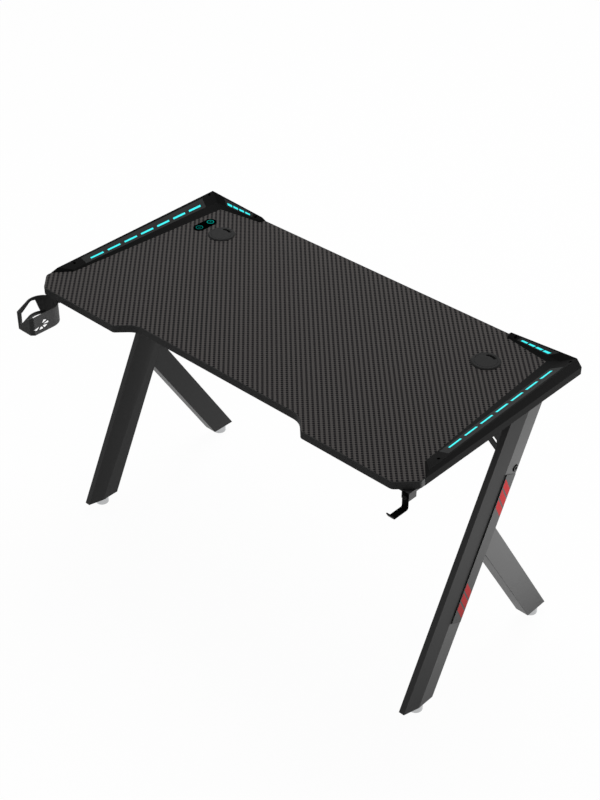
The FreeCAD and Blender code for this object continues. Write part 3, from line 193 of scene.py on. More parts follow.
# %% [markdown]
# Two lamps light the desk. A large softbox hangs high behind it, so that the worktop is
# lit evenly while the faces towards the camera stay dark. A small strip on the floor
# behind the right end throws a narrow beam on the outer sides of the right legs and on
# the skirt. A lamp that mirrors in satin paint leaves a bright patch, so neither lamp
# shows in reflections: there the finishes see the white room only.

# %% Hang the lamps
LAMPS = {
    "overhead_softbox": {
        "place": (-0.9, 2.2, 5.5), "aim": (0.0, 0.0, 0.4), "spread": 180.0,
        "wide": 3.6, "high": 3.6, "watts": 242.0,
    },
    "floor_strip": {
        "place": (1.4, 1.85, 0.09), "aim": (0.59, 0.26, 0.46), "spread": 34.0,
        "wide": 0.5, "high": 0.16, "watts": 15.0,
    },
}
for lamp_name, facts in LAMPS.items():
    lamp = bpy.data.lights.new(lamp_name, "AREA")
    lamp.shape = "RECTANGLE"
    lamp.size = facts["wide"]
    lamp.size_y = facts["high"]
    lamp.energy = facts["watts"]
    lamp.spread = math.radians(facts["spread"])
    stand = bpy.data.objects.new(lamp_name, lamp)
    stand.location = facts["place"]
    aim = Vector(facts["aim"]) - stand.location
    stand.rotation_euler = aim.to_track_quat("-Z", "Y").to_euler()
    stand.visible_camera = False
    stand.visible_glossy = False
    scene.collection.objects.link(stand)
    print(lamp_name, "at", facts["place"])

# %% [markdown]
# Nearly every finish on the desk has a grain: the spark-eroded skin of a moulding, the
# orange peel of powder coat, the tooth of a printed film. They differ in size and depth
# only, so one node group makes them all. It puts out a height for the bump, and a slow
# mottle that shifts colour and roughness a little from place to place.

# %% Make the grain group
GRAINS_PER_METRE = 900.0
MOTTLES_PER_METRE = 9.0
GRAIN_DETAIL = 2.0
MOTTLE_DETAIL = 4.0


def add_socket(tree, name, kind, way="INPUT", value=None):
    """Adds a named socket to a node group."""
    socket = tree.interface.new_socket(name=name, in_out=way, socket_type=kind)
    if value is not None:
        socket.default_value = value


def noise_node(tree, where, scale, detail):
    """Soft noise over coordinates."""
    values = {"Vector": where, "Scale": scale, "Detail": detail}
    return add_node(tree, "ShaderNodeTexNoise", values).outputs["Fac"]


def make_grain_group():
    """Grain and mottle from object coordinates."""
    tree = bpy.data.node_groups.new("moulded_grain", "ShaderNodeTree")
    add_socket(tree, "Vector", "NodeSocketVector")
    add_socket(tree, "Grains per metre", "NodeSocketFloat", value=GRAINS_PER_METRE)
    add_socket(tree, "Mottles per metre", "NodeSocketFloat", value=MOTTLES_PER_METRE)
    add_socket(tree, "Height", "NodeSocketFloat", "OUTPUT")
    add_socket(tree, "Mottle", "NodeSocketFloat", "OUTPUT")
    entry = tree.nodes.new("NodeGroupInput").outputs
    grain = noise_node(tree, entry["Vector"], entry["Grains per metre"], GRAIN_DETAIL)
    mottle = noise_node(tree, entry["Vector"], entry["Mottles per metre"], MOTTLE_DETAIL)
    add_node(tree, "NodeGroupOutput", {"Height": grain, "Mottle": mottle})
    return tree


grain_group = make_grain_group()
print("node group", grain_group.name)

# %% [markdown]
# A finish is a Principled shader fed by that group. Colours are noted as they are seen,
# in sRGB, and turned to linear light once. The mottle moves the colour between two close
# shades and the roughness between two close values, because a perfectly even surface is
# the first thing that gives a computer picture away.

# %% Write the finish maker
def linear(code):
    """A hex colour as linear red, green, blue and alpha."""
    parts = [int(code[start:start + 2], 16) / 255 for start in (1, 3, 5)]
    curve = [part / 12.92 if part <= 0.04045 else ((part + 0.055) / 1.055) ** 2.4 for part in parts]
    return (*curve, 1.0)


def start_finish(name):
    """A new material; gives it with its tree, its Principled shader and coordinates."""
    made = bpy.data.materials.new(name)
    made.use_nodes = True
    tree = made.node_tree
    tree.nodes.clear()
    shader = tree.nodes.new("ShaderNodeBsdfPrincipled")
    add_node(tree, "ShaderNodeOutputMaterial", {"Surface": shader.outputs["BSDF"]})
    where = tree.nodes.new("ShaderNodeTexCoord").outputs["Object"]
    return made, tree, shader, where


def add_group(tree, group, values):
    """Places a node group, feeds it and gives its outputs."""
    placed = tree.nodes.new("ShaderNodeGroup")
    placed.node_tree = group
    feed(tree, placed, values)
    return placed.outputs


def add_grain(tree, where, grains, mottles):
    """Places the grain group; gives its height and mottle."""
    values = {"Vector": where, "Grains per metre": grains, "Mottles per metre": mottles}
    placed = add_group(tree, grain_group, values)
    return placed["Height"], placed["Mottle"]


def two_shades(tree, factor, first, second):
    """A colour that moves between two hex shades."""
    return mix_colours(tree, factor, linear(first), linear(second))


def spread(tree, factor, low, high):
    """A value that moves between two numbers."""
    values = {"Value": factor, "To Min": low, "To Max": high}
    return add_node(tree, "ShaderNodeMapRange", values).outputs["Result"]


def bump(tree, height, deep):
    """A normal from a height whose depth is given in millimetres."""
    values = {"Height": height, "Strength": 1.0, "Distance": deep * MM}
    return add_node(tree, "ShaderNodeBump", values).outputs["Normal"]


def grained_finish(name, shades, rough, grains, deep, specular,
                   mottles=MOTTLES_PER_METRE, metallic=0.0):
    """A plain finish: two close shades, a spread of roughness and a grain."""
    made, tree, shader, where = start_finish(name)
    height, mottle = add_grain(tree, where, grains, mottles)
    feed(tree, shader, {
        "Base Color": two_shades(tree, mottle, *shades),
        "Roughness": spread(tree, mottle, *rough),
        "Normal": bump(tree, height, deep),
        "Specular IOR Level": specular,
        "Metallic": metallic,
    })
    return made


print("middle grey in linear light", round(linear("#808080")[0], 3))

# %% [markdown]
# The plain finishes come next. The frame is powder coated in a soft black with a fine
# orange peel. The mouldings are matt ABS with an eroded skin. The screws are zinc or
# blackened steel, and the levelling feet are bright chrome that mirrors the white floor.
# They are one table, because blacks are chosen side by side.

# %% Mix the plain finishes
# A row has two shades, the range of roughness, grains to the metre, their depth in
# millimetres and the specular level. Metals add mottles to the metre and the metallic share.
PLAIN_FINISHES = {
    "edge_band": (("#3a3a3a", "#404040"), (0.5, 0.62), 1300, 0.04, 0.04),
    "housing_plastic": (("#0d0d0d", "#121212"), (0.42, 0.55), 1500, 0.004, 0.027),
    "panel_plastic": (("#2c2d2d", "#333434"), (0.4, 0.5), 2200, 0.01, 0.04),
    "grommet_plastic": (("#2c2c2c", "#303030"), (0.5, 0.62), 1500, 0.03, 0.04),
    "frame_paint": (("#2e2e2e", "#333333"), (0.34, 0.44), 1100, 0.01, 0.19),
    "badge_plastic": (("#2d2d2d", "#333333"), (0.5, 0.6), 1600, 0.02, 0.06),
    "cup_plastic": (("#3c3c3c", "#454545"), (0.38, 0.5), 1200, 0.03, 0.05),
    "hook_paint": (("#060606", "#090909"), (0.35, 0.48), 1100, 0.03, 0.01),
    "black_steel": (("#0c0c0c", "#141414"), (0.3, 0.45), 1800, 0.02, 0.08),
    "bolt_black": (("#161616", "#1e1e1e"), (0.3, 0.42), 1800, 0.02, 0.3),
    "steel": (("#6f7072", "#858688"), (0.25, 0.4), 2600, 0.01, 0.5, 40.0, 1.0),
    "foot_chrome": (("#a9aaab", "#c0c1c2"), (0.08, 0.16), 900, 0.004, 0.5, 25.0, 1.0),
}
FINISH = {name: grained_finish(name, *row) for name, row in PLAIN_FINISHES.items()}
print(len(FINISH), "plain finishes")

# %% [markdown]
# The worktop film is printed with a carbon twill. In a twill every next yarn passes over
# the crossing ones a step later, so the visible stretches, the floats, line up in ribs
# that run across the board at a slant. An image would do it once; arithmetic on the
# object coordinates does it at any size. X plus Y counts the ribs, X minus Y counts the
# floats along a rib, and the light and the dark ribs are half a float apart. Y counts a
# little less than X, because the slant isn't quite half a right angle.

# %% Weave the twill group
RIBS_PER_METRE = 65.05
FLOATS_PER_METRE = 91.0
LIGHT_RIB_SHARE = 0.52
ZIGZAG_SHARE = 0.2
HALF_FLOAT = 0.5
FLOAT_END_SHARE = 0.1
FLOAT_RISE = 9.0
Y_SHARE = 0.985


def make_twill_group():
    """Which ribs are light, and how far along each float is from its ends."""
    tree = bpy.data.node_groups.new("carbon_twill", "ShaderNodeTree")
    add_socket(tree, "Vector", "NodeSocketVector")
    add_socket(tree, "Ribs per metre", "NodeSocketFloat", value=RIBS_PER_METRE)
    add_socket(tree, "Floats per metre", "NodeSocketFloat", value=FLOATS_PER_METRE)
    add_socket(tree, "Light", "NodeSocketFloat", "OUTPUT")
    add_socket(tree, "Float", "NodeSocketFloat", "OUTPUT")
    entry = tree.nodes.new("NodeGroupInput").outputs
    split = add_node(tree, "ShaderNodeSeparateXYZ", {0: entry["Vector"]}).outputs
    deep = math_node(tree, "MULTIPLY", split["Y"], Y_SHARE)
    across = math_node(tree, "ADD", split["X"], deep)
    along = math_node(tree, "SUBTRACT", split["X"], deep)
    ribs = math_node(tree, "MULTIPLY", across, entry["Ribs per metre"])
    floats = math_node(tree, "MULTIPLY", along, entry["Floats per metre"])
    swing = math_node(tree, "PINGPONG", floats, HALF_FLOAT)
    edge = math_node(tree, "ADD", ribs, math_node(tree, "MULTIPLY", swing, ZIGZAG_SHARE))
    light = math_node(tree, "LESS_THAN", math_node(tree, "FRACT", edge), LIGHT_RIB_SHARE)
    started = math_node(tree, "ADD", floats, math_node(tree, "MULTIPLY", light, HALF_FLOAT))
    from_end = math_node(tree, "PINGPONG", started, HALF_FLOAT)
    past_end = math_node(tree, "SUBTRACT", from_end, FLOAT_END_SHARE)
    rise = math_node(tree, "MULTIPLY", past_end, FLOAT_RISE)
    full = math_node(tree, "MINIMUM", math_node(tree, "MAXIMUM", rise, 0.0), 1.0)
    add_node(tree, "NodeGroupOutput", {"Light": light, "Float": full})
    return tree


twill_group = make_twill_group()
print("node group", twill_group.name)

# %% [markdown]
# The film itself: warm grey ribs beside cold black ones under a satin lacquer. A light
# float darkens towards its ends where it dips under, and a black one greys there. The
# lacquer is smooth, so the weave only tints the colour and barely moves the surface.

# %% Print the worktop film
def carbon_film():
    """The printed and lacquered top of the desk."""
    made, tree, shader, where = start_finish("carbon_laminate")
    weave = add_group(tree, twill_group, {
        "Vector": where,
        "Ribs per metre": RIBS_PER_METRE,
        "Floats per metre": FLOATS_PER_METRE,
    })
    grain, mottle = add_grain(tree, where, grains=700, mottles=5.0)
    dark_rib = two_shades(tree, weave["Float"], "#3d3b3a", "#0e0e10")
    light_rib = two_shades(tree, weave["Float"], "#42403f", "#4f4c4b")
    relief = math_node(tree, "ADD", weave["Float"], grain)
    feed(tree, shader, {
        "Base Color": mix_colours(tree, weave["Light"], dark_rib, light_rib),
        "Roughness": spread(tree, mottle, low=0.5, high=0.62),
        "Normal": bump(tree, relief, deep=0.03),
        "Specular IOR Level": 0.03,
    })
    return made


FINISH["carbon_laminate"] = carbon_film()
print("film with", RIBS_PER_METRE, "ribs to the metre")

# %% [markdown]
# The lenses are frosted acrylic with light behind them, so they glow, and a little more
# in some places than in others. A lamp in each would light the desk too much, so they
# emit their colour. The touch panel is black gloss acrylic, smooth but not quite flat.

# %% Mix the lens and the touch window
def lit_lens():
    """Frosted acrylic, lit from behind."""
    made, tree, shader, where = start_finish("lit_lens")
    height, mottle = add_grain(tree, where, grains=1500, mottles=60.0)
    feed(tree, shader, {
        "Emission Color": two_shades(tree, mottle, "#3cf6f8", "#4cffff"),
        "Emission Strength": 0.95,
        "Base Color": two_shades(tree, mottle, "#0b5a60", "#0f6a70"),
        "Normal": bump(tree, height, deep=0.01),
        "Roughness": 0.4,
        "Specular IOR Level": 0.1,
    })
    return made


def gloss_acrylic():
    """The touch panel's black window."""
    made, tree, shader, where = start_finish("touch_glass")
    height, mottle = add_grain(tree, where, grains=60, mottles=30.0)
    feed(tree, shader, {
        "Base Color": two_shades(tree, mottle, "#010101", "#030303"),
        "Roughness": spread(tree, mottle, low=0.12, high=0.2),
        "Normal": bump(tree, height, deep=0.002),
        "Specular IOR Level": 0.0,
    })
    return made


FINISH["lens"] = lit_lens()
FINISH["touch_glass"] = gloss_acrylic()
print(FINISH["lens"].name, FINISH["touch_glass"].name)

# %% [markdown]
# Two finishes are mostly hidden. The circuits have green lacquer with paler tracks, which
# a Brick texture draws well enough. The particle board shows its chips in the raw holes,
# as Voronoi cells, and has a black backing film on its underside.

# %% Mix the hidden finishes
FACING_DOWN = -0.5


def lacquered_circuit():
    """Green lacquer over copper tracks."""
    made, tree, shader, where = start_finish("circuit")
    tracks = add_node(tree, "ShaderNodeTexBrick", {
        "Vector": where,
        "Scale": 180.0,
        "Mortar Size": 0.06,
        "Color1": linear("#12432a"),
        "Color2": linear("#154d31"),
        "Mortar": linear("#3f7a4d"),
    })
    feed(tree, shader, {
        "Base Color": tracks.outputs["Color"],
        "Normal": bump(tree, tracks.outputs["Fac"], deep=0.03),
        "Roughness": 0.35,
    })
    return made


def particle_board():
    """Pressed chips where the board is cut, black backing film below."""
    made, tree, shader, where = start_finish("particle_board")
    chips = add_node(tree, "ShaderNodeTexVoronoi", {"Vector": where, "Scale": 450.0})
    raw = two_shades(tree, chips.outputs["Distance"], "#8a6f4f", "#c2a67c")
    facing = tree.nodes.new("ShaderNodeNewGeometry").outputs["Normal"]
    split = add_node(tree, "ShaderNodeSeparateXYZ", {0: facing})
    below = math_node(tree, "LESS_THAN", split.outputs["Z"], FACING_DOWN)
    grain, mottle = add_grain(tree, where, grains=900, mottles=6.0)
    film = two_shades(tree, mottle, "#161616", "#1d1d1d")
    feed(tree, shader, {
        "Base Color": mix_colours(tree, below, raw, film),
        "Roughness": spread(tree, mottle, low=0.6, high=0.8),
        "Normal": bump(tree, grain, deep=0.06),
        "Specular IOR Level": 0.15,
    })
    return made


FINISH["circuit"] = lacquered_circuit()
FINISH["board"] = particle_board()
print(sorted(FINISH))

# %% [markdown]
# Now the pieces. A CAD solid has edges as sharp as a knife, and no real edge is: even a
# cut tube has half a millimetre of radius, which catches a thin line of light. A copy of
# each solid is welded, its flat triangles are joined, and a Bevel of its own width rounds
# it. Weighted normals keep the flats flat.

# %% Write the softening tool
WELD = 0.01 * MM
FLAT_ANGLE = math.radians(0.3)
EDGE_ANGLE = math.radians(25.0)
SMOOTH_ANGLE = math.radians(50.0)
EDGE_STEPS = 2


def merged_form(node):
    """A node's triangles as a BMesh with shared corners."""
    form = bmesh.new()
    form.from_mesh(frame["nodes"][node].data)
    bmesh.ops.remove_doubles(form, verts=form.verts, dist=WELD)
    return form


def form_to_mesh(form, name):
    """The mesh of a BMesh, which is freed."""
    mesh = bpy.data.meshes.new(name)
    form.to_mesh(mesh)
    form.free()
    return mesh


def welded(node):
    """A copy of a node's mesh with its triangles joined to whole faces."""
    form = merged_form(node)
    bmesh.ops.dissolve_limit(form, angle_limit=FLAT_ANGLE, verts=form.verts, edges=form.edges)
    return form_to_mesh(form, node + "_welded")


def shade(mesh, angle):
    """Shades a mesh smooth, apart from edges past an angle."""
    mesh.shade_smooth()
    mesh.set_sharp_from_angle(angle=angle)


def evaluated(holder):
    """The mesh that an object's modifiers give; the object itself goes."""
    graph = bpy.context.evaluated_depsgraph_get()
    mesh = bpy.data.meshes.new_from_object(holder.evaluated_get(graph))
    bpy.data.objects.remove(holder)
    return mesh


def softened(mesh, edge):
    """The mesh with its edges rounded to a width in metres."""
    shade(mesh, SMOOTH_ANGLE)
    holder = bpy.data.objects.new("softening", mesh)
    scene.collection.objects.link(holder)
    bevel = holder.modifiers.new("edge", "BEVEL")
    bevel.width = edge
    bevel.segments = EDGE_STEPS
    bevel.limit_method = "ANGLE"
    bevel.angle_limit = EDGE_ANGLE
    even_normals = holder.modifiers.new("flats", "WEIGHTED_NORMAL")
    even_normals.keep_sharp = True
    return evaluated(holder)


print("edges past", round(math.degrees(EDGE_ANGLE)), "degrees get", EDGE_STEPS, "steps")

# %% [markdown]
# A dressed piece stands for its CAD node: it rides on the same body, takes the finish of
# the node's material slot unless another is named, and replaces the node. The edge widths
# are the only thing that differs, so the next cells list them in millimetres and loop.

# %% Write the dressing tool
SLOTS = {part["node"]: part["material_slot"] for part in frame["record"]["subparts"]}
SIDES = ("left", "right")


def body_of(node):
    """The moving body that a node belongs to."""
    words = node.split("_")
    if node.endswith("grommet_lid"):
        return words[0] + "_lid"
    if node.endswith("levelling_foot"):
        return "%s_%s_foot" % (words[0], words[1])
    return "desk"


def show(name, mesh, finish, slot, body, *nodes):
    """Makes a piece of a mesh, and lets it stand for its CAD nodes."""
    mesh.name = name
    mesh.materials.clear()
    mesh.materials.append(FINISH[finish])
    piece = bpy.data.objects.new(name, mesh)
    scene.collection.objects.link(piece)
    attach(piece, body)
    if nodes:
        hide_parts(*nodes)
    return piece


def dress(node, edge, finish=None):
    """Shows a node as a copy with softened edges, whose width is in millimetres."""
    slot = SLOTS[node]
    mesh = softened(welded(node), edge * MM)
    return show(node + "_dressed", mesh, finish or slot, slot, body_of(node), node)


def dress_each(edges):
    """Dresses single nodes."""
    for node, edge in edges.items():
        piece = dress(node, edge)
        print(piece.name, len(piece.data.polygons), "faces")


def dress_pairs(edges):
    """Dresses left and right twins."""
    for pair, edge in edges.items():
        for side in SIDES:
            piece = dress("%s_%s" % (side, pair), edge)
        print(pair, len(piece.data.polygons), "faces each")


print(len(SLOTS), "nodes to dress")

# %% [markdown]
# The worktop is a board with the printed film on it and a plastic band round its edge.
# The band's upper edge is rounded by a router once it is glued on, so it gets a wider
# radius than the thin film beside it.

# %% Dress the worktop
dress_each({
    "desktop_core": 0.2,
    "desktop_laminate": 0.15,
    "front_edge_band": 0.8,
    "rear_edge_band": 0.8,
})

# %% [markdown]
# Each light housing is one moulding: a low sloping foot, a broad ruled face and a steep
# outer flank that turns down over the board's edge as a skirt. Its two panels are let in
# flush, and the lenses sit flush in them. The facets meet in crisp edges, so the radii
# stay under a millimetre.

# %% Dress the light housings
dress_pairs({
    "light_housing": 0.5,
    "side_light_panel": 0.25,
    "back_light_panel": 0.2,
    "side_lenses": 0.3,
    "back_lenses": 0.25,
    "light_strips": 0.1,
})

# %% [markdown]
# The frame is welded from leaning tubes. Folded and cut steel has a radius of about its
# own wall, and powder coat rounds it a little more. The rails, caps, gussets, plates and
# the cross beam are dressed in the same way.

# %% Dress the frame
dress_pairs({
    "main_leg": 0.9,
    "rear_leg": 0.9,
    "side_rail": 0.5,
    "rail_caps": 0.6,
    "gusset": 0.4,
    "front_foot_plate": 0.3,
    "rear_foot_plate": 0.3,
})
dress_each({"cross_beam": 0.5})

# %% [markdown]
# The small fittings: the grommet rings with their lift-out lids, the touch panel and its
# circuit, the cup holder, the headphone hook with its plate, and the controller box. The
# cup holder's thin rims are what the light finds first, so they get a full radius. The
# hook's plate is painted like the frame that it hangs beside.

# %% Dress the fittings
HOOK_PLATE_EDGE = 0.4
dress_each({
    "left_grommet_ring": 0.4,
    "right_grommet_ring": 0.4,
    "left_grommet_lid": 0.5,
    "right_grommet_lid": 0.5,
    "touch_panel": 0.4,
    "touch_circuit": 0.1,
    "cup_holder": 0.6,
    "headphone_hook": 0.5,
    "light_controller": 0.8,
    "right_leg_badge": 0.4,
})
print(dress("hook_mount_plate", HOOK_PLATE_EDGE, "frame_paint").name)

# %% [markdown]
# Screws, threads and stripes repeat, so Geometry Nodes make them. Their trees have much
# in common: each takes its sizes as named inputs, builds one shape, sets it on every
# point, and ends in Realize Instances and Set Material. These tools hold what is common.

# %% Write the tree tools
def geometry_group(name, inputs):
    """A Geometry Nodes tree with named inputs; gives the tree and its input sockets."""
    tree = bpy.data.node_groups.new(name, "GeometryNodeTree")
    add_socket(tree, "Geometry", "NodeSocketGeometry")
    add_socket(tree, "Geometry", "NodeSocketGeometry", "OUTPUT")
    for label in inputs:
        add_socket(tree, label, "NodeSocketFloat", value=MM)
    add_socket(tree, "Turn", "NodeSocketVector")
    add_socket(tree, "Finish", "NodeSocketMaterial")
    return tree, tree.nodes.new("NodeGroupInput").outputs


def vector(tree, values):
    """A vector from its X, Y and Z."""
    return add_node(tree, "ShaderNodeCombineXYZ", values).outputs[0]


def lifted(tree, shape, height):
    """A shape moved up by a socket."""
    values = {"Geometry": shape, "Translation": vector(tree, {"Z": height})}
    return add_node(tree, "GeometryNodeTransform", values).outputs["Geometry"]


def sunk(tree, shape, depth):
    """A shape moved down by a socket."""
    return lifted(tree, shape, math_node(tree, "MULTIPLY", depth, -1.0))


def drum(tree, sides, low_radius, high_radius, height):
    """A drum that stands on the ground, from sockets."""
    values = {"Vertices": sides, "Radius Bottom": low_radius, "Radius Top": high_radius, "Depth": height}
    return add_node(tree, "GeometryNodeMeshCone", values).outputs["Mesh"]


def joined(tree, *shapes):
    """Shapes joined to one."""
    join = tree.nodes.new("GeometryNodeJoinGeometry")
    for shape in shapes:
        tree.links.new(shape, join.inputs[0])
    return join.outputs[0]


def set_on_points(tree, size, shape):
    """Ends a tree: the shape on every point, turned, made real and painted."""
    turn = add_node(tree, "FunctionNodeEulerToRotation", {0: size["Turn"]}).outputs[0]
    places = {"Points": size["Geometry"], "Instance": shape, "Rotation": turn}
    placed = add_node(tree, "GeometryNodeInstanceOnPoints", places).outputs[0]
    real = add_node(tree, "GeometryNodeRealizeInstances", {0: placed}).outputs[0]
    paint = add_node(tree, "GeometryNodeSetMaterial", {"Geometry": real, "Material": size["Finish"]})
    add_node(tree, "NodeGroupOutput", {0: paint.outputs[0]})


def grow(name, tree, points, values, turn, finish):
    """Runs a tree on points and gives the plain mesh."""
    seeds = bpy.data.meshes.new(name + "_points")
    seeds.from_pydata(points, [], [])
    holder = bpy.data.objects.new(name + "_points", seeds)
    scene.collection.objects.link(holder)
    step = holder.modifiers.new("grow", "NODES")
    step.node_group = tree
    for item in tree.interface.items_tree:
        if item.in_out != "INPUT" or item.name == "Geometry":
            continue
        if item.name == "Turn":
            step[item.identifier] = turn
        elif item.name == "Finish":
            step[item.identifier] = finish
        else:
            step[item.identifier] = values.get(item.name, MM)
    return evaluated(holder)


print("tools ready for screws, threads and stripes")

# %% [markdown]
# A screw is a head with a recess and a shank, and a bolt has a nut as well. The recess is
# cut by a Mesh Boolean: a cross for the wood screws, a hexagon for the bolts. A bump could
# fake it, but the piece's mesh would lack it.

# %% Grow the screw trees
HEAD_SIDES = 32
SHANK_SIDES = 20
HEX_SIDES = 6
CROSS_SHARE = 0.24
NUT_INPUTS = ("Nut Radius", "Nut Height", "Nut Offset")
SCREW_INPUTS = ("Head Radius", "Head Height", "Crown Radius", "Recess Width", "Recess Depth",
                "Shank Radius", "Shank Length", *NUT_INPUTS)


def cross_cutters(tree, size, deep):
    """Two crossed bars through the crown of a head."""
    wide = size["Recess Width"]
    thin = math_node(tree, "MULTIPLY", wide, CROSS_SHARE)
    bars = []
    for along, across in ((wide, thin), (thin, wide)):
        bar_size = vector(tree, {"X": along, "Y": across, "Z": deep})
        bar = add_node(tree, "GeometryNodeMeshCube", {"Size": bar_size})
        bars.append(lifted(tree, bar.outputs["Mesh"], size["Head Height"]))
    return bars


def hexagon_cutters(tree, size, deep):
    """A hexagonal drum that stands on the floor of the recess."""
    half = math_node(tree, "MULTIPLY", size["Recess Width"], 0.5)
    floor_height = math_node(tree, "SUBTRACT", size["Head Height"], size["Recess Depth"])
    return [lifted(tree, drum(tree, HEX_SIDES, half, half, deep), floor_height)]


def screw_tree(name, cross):
    """A tree for screws with a cross recess, or bolts with a hexagon recess and a nut."""
    tree, size = geometry_group(name, SCREW_INPUTS)
    head = drum(tree, HEAD_SIDES, size["Head Radius"], size["Crown Radius"], size["Head Height"])
    twice_deep = math_node(tree, "MULTIPLY", size["Recess Depth"], 2.0)
    make_cutters = cross_cutters if cross else hexagon_cutters
    cutter = joined(tree, *make_cutters(tree, size, twice_deep))
    carve = add_node(tree, "GeometryNodeMeshBoolean", {"Mesh 1": head, "Mesh 2": cutter}, "DIFFERENCE")
    shank = drum(tree, SHANK_SIDES, size["Shank Radius"], size["Shank Radius"], size["Shank Length"])
    shapes = [carve.outputs["Mesh"], sunk(tree, shank, size["Shank Length"])]
    if not cross:
        nut = drum(tree, HEX_SIDES, size["Nut Radius"], size["Nut Radius"], size["Nut Height"])
        shapes.append(sunk(tree, nut, size["Nut Offset"]))
    set_on_points(tree, size, joined(tree, *shapes))
    return tree


SCREW_TREES = {
    "cross": screw_tree("cross_head_screws", True),
    "hexagon": screw_tree("socket_head_bolts", False),
}
print("screw trees", [tree.name for tree in SCREW_TREES.values()])

# %% [markdown]
# To set the screws, the loose solids of each screw node are measured: the end of a solid
# that looks out is the crown of a head, and its length less the head is the shank. So
# nothing about their places is written twice. Solids under half the longest are nuts, and
# the tree makes those with their bolts.

# %% Measure the screws
TURNS = {
    "up": ((0.0, 0.0, 0.0), Vector((0, 0, 1))),
    "down": ((math.pi, 0.0, 0.0), Vector((0, 0, -1))),
    "front": ((math.pi / 2, 0.0, 0.0), Vector((0, -1, 0))),
    "right": ((0.0, math.pi / 2, 0.0), Vector((1, 0, 0))),
    "left": ((0.0, -math.pi / 2, 0.0), Vector((-1, 0, 0))),
}


def loose_solids(node):
    """The corners of each of a node's separate solids."""
    form = merged_form(node)
    reached = set()
    clouds = []
    for start in form.verts:
        if start in reached:
            continue
        reached.add(start)
        waiting = [start]
        cloud = []
        while waiting:
            corner = waiting.pop()
            cloud.append(corner.co.copy())
            for link in corner.link_edges:
                other = link.other_vert(corner)
                if other not in reached:
                    reached.add(other)
                    waiting.append(other)
        clouds.append(cloud)
    form.free()
    return clouds


def screw_seats(node, way, head_height):
    """Where the heads of a node's screws sit, and the length of their shanks."""
    found = []
    for cloud in loose_solids(node):
        ends = [point.dot(way) for point in cloud]
        low = Vector([min(point[axis] for point in cloud) for axis in range(3)])
        high = Vector([max(point[axis] for point in cloud) for axis in range(3)])
        middle = (low + high) / 2
        crown = middle + way * (max(ends) - middle.dot(way))
        found.append((crown - way * head_height, max(ends) - min(ends) - head_height))
    longest = max(length for seat, length in found)
    return [seat for seat, length in found if length > longest / 2], longest


print("solids among the left rail screws", len(loose_solids("left_rail_screws")))

# %% [markdown]
# Three kinds of screw hold the wood: small ones in the wells of the housings, stout ones
# through the rails, and middling ones for the fittings under the board. They look up or
# down, and their heads taper to a crown.

# %% Set the screws
# Sizes in millimetres: a head's radius and height, its crown as a share of that radius,
# the width and depth of its recess, and the radius of its shank.
HOUSING_SCREW = {
    "looks": "up", "head": (3.4, 1.7), "crown": 0.5, "recess": (3.4, 1.2), "shank": 1.7,
}
RAIL_SCREW = {
    "looks": "down", "head": (5.0, 3.0), "crown": 0.7, "recess": (5.2, 1.8), "shank": 2.25,
}
FITTING_SCREW = {
    "looks": "down", "head": (3.75, 2.2), "crown": 0.7, "recess": (4.0, 1.4), "shank": 1.75,
}


def set_screws(node, facts, finish=None):
    """Replaces a screw node by grown screws."""
    turn, way = TURNS[facts["looks"]]
    head_radius, head_height = [length * MM for length in facts["head"]]
    seats, shank_length = screw_seats(node, way, head_height)
    values = {
        "Head Radius": head_radius,
        "Head Height": head_height,
        "Crown Radius": head_radius * facts["crown"],
        "Recess Width": facts["recess"][0] * MM,
        "Recess Depth": facts["recess"][1] * MM,
        "Shank Radius": facts["shank"] * MM,
        "Shank Length": shank_length,
    }
    for label, length in zip(NUT_INPUTS, facts.get("nut", ())):
        values[label] = length * MM
    tree = SCREW_TREES["hexagon" if "nut" in facts else "cross"]
    slot = SLOTS[node]
    mesh = grow(node, tree, seats, values, turn, FINISH[finish or slot])
    shade(mesh, EDGE_ANGLE)
    piece = show(node + "_dressed", mesh, finish or slot, slot, "desk", node)
    print(piece.name, len(seats), "set,", len(mesh.polygons), "faces")


for side in SIDES:
    set_screws(side + "_housing_screws", HOUSING_SCREW)
    set_screws(side + "_rail_screws", RAIL_SCREW)
for node_name in ("cup_holder_screws", "hook_mount_screws", "light_controller_screws"):
    set_screws(node_name, FITTING_SCREW)

# %% [markdown]
# The bolts carry the loads: two hold each gusset to the cross beam, one goes through each
# leg, and one holds the hook. Their sockets are hexagons, and their nuts lie on the far
# side of what they clamp. A nut has a radius, a height, and an offset from the head's seat.

# %% Set the bolts
BEAM_BOLT = {
    "looks": "front", "head": (6.0, 4.0), "crown": 0.85, "recess": (5.0, 2.4), "shank": 3.0,
    "nut": (6.0, 4.0, 32.0),
}
LEG_BOLT = {
    "head": (7.0, 37.4), "crown": 0.94, "recess": (8.0, 6.0), "shank": 4.0,
    "nut": (6.5, 6.5, 11.5),
}
HOOK_BOLT = {
    "looks": "front", "head": (5.25, 3.4), "crown": 0.8, "recess": (4.2, 2.0), "shank": 2.5,
    "nut": (4.5, 4.0, 10.0),
}
for side in SIDES:
    set_screws(side + "_beam_bolts", BEAM_BOLT)
    set_screws(side + "_leg_bolt", {"looks": side, **LEG_BOLT}, "bolt_black")
set_screws("hook_screw_and_nut", HOOK_BOLT)

# %% [markdown]
# A levelling foot stands on a threaded stem. A thread follows a path, so Geometry Nodes
# wind it: a spiral carries a small ridge up a round core, and its crest keeps to the CAD
# stem's radius.

# %% Wind the thread
STEM_RADIUS = 4.0 * MM
THREAD_DEPTH = 0.3 * MM
THREAD_PITCH = 1.25 * MM
THREAD_STEPS = 28
RIDGE_SIDES = 6
RIDGE_SHARE = 0.98
THREAD_INPUTS = ("Stem Radius", "Thread Depth", "Thread Length", "Thread Turns")


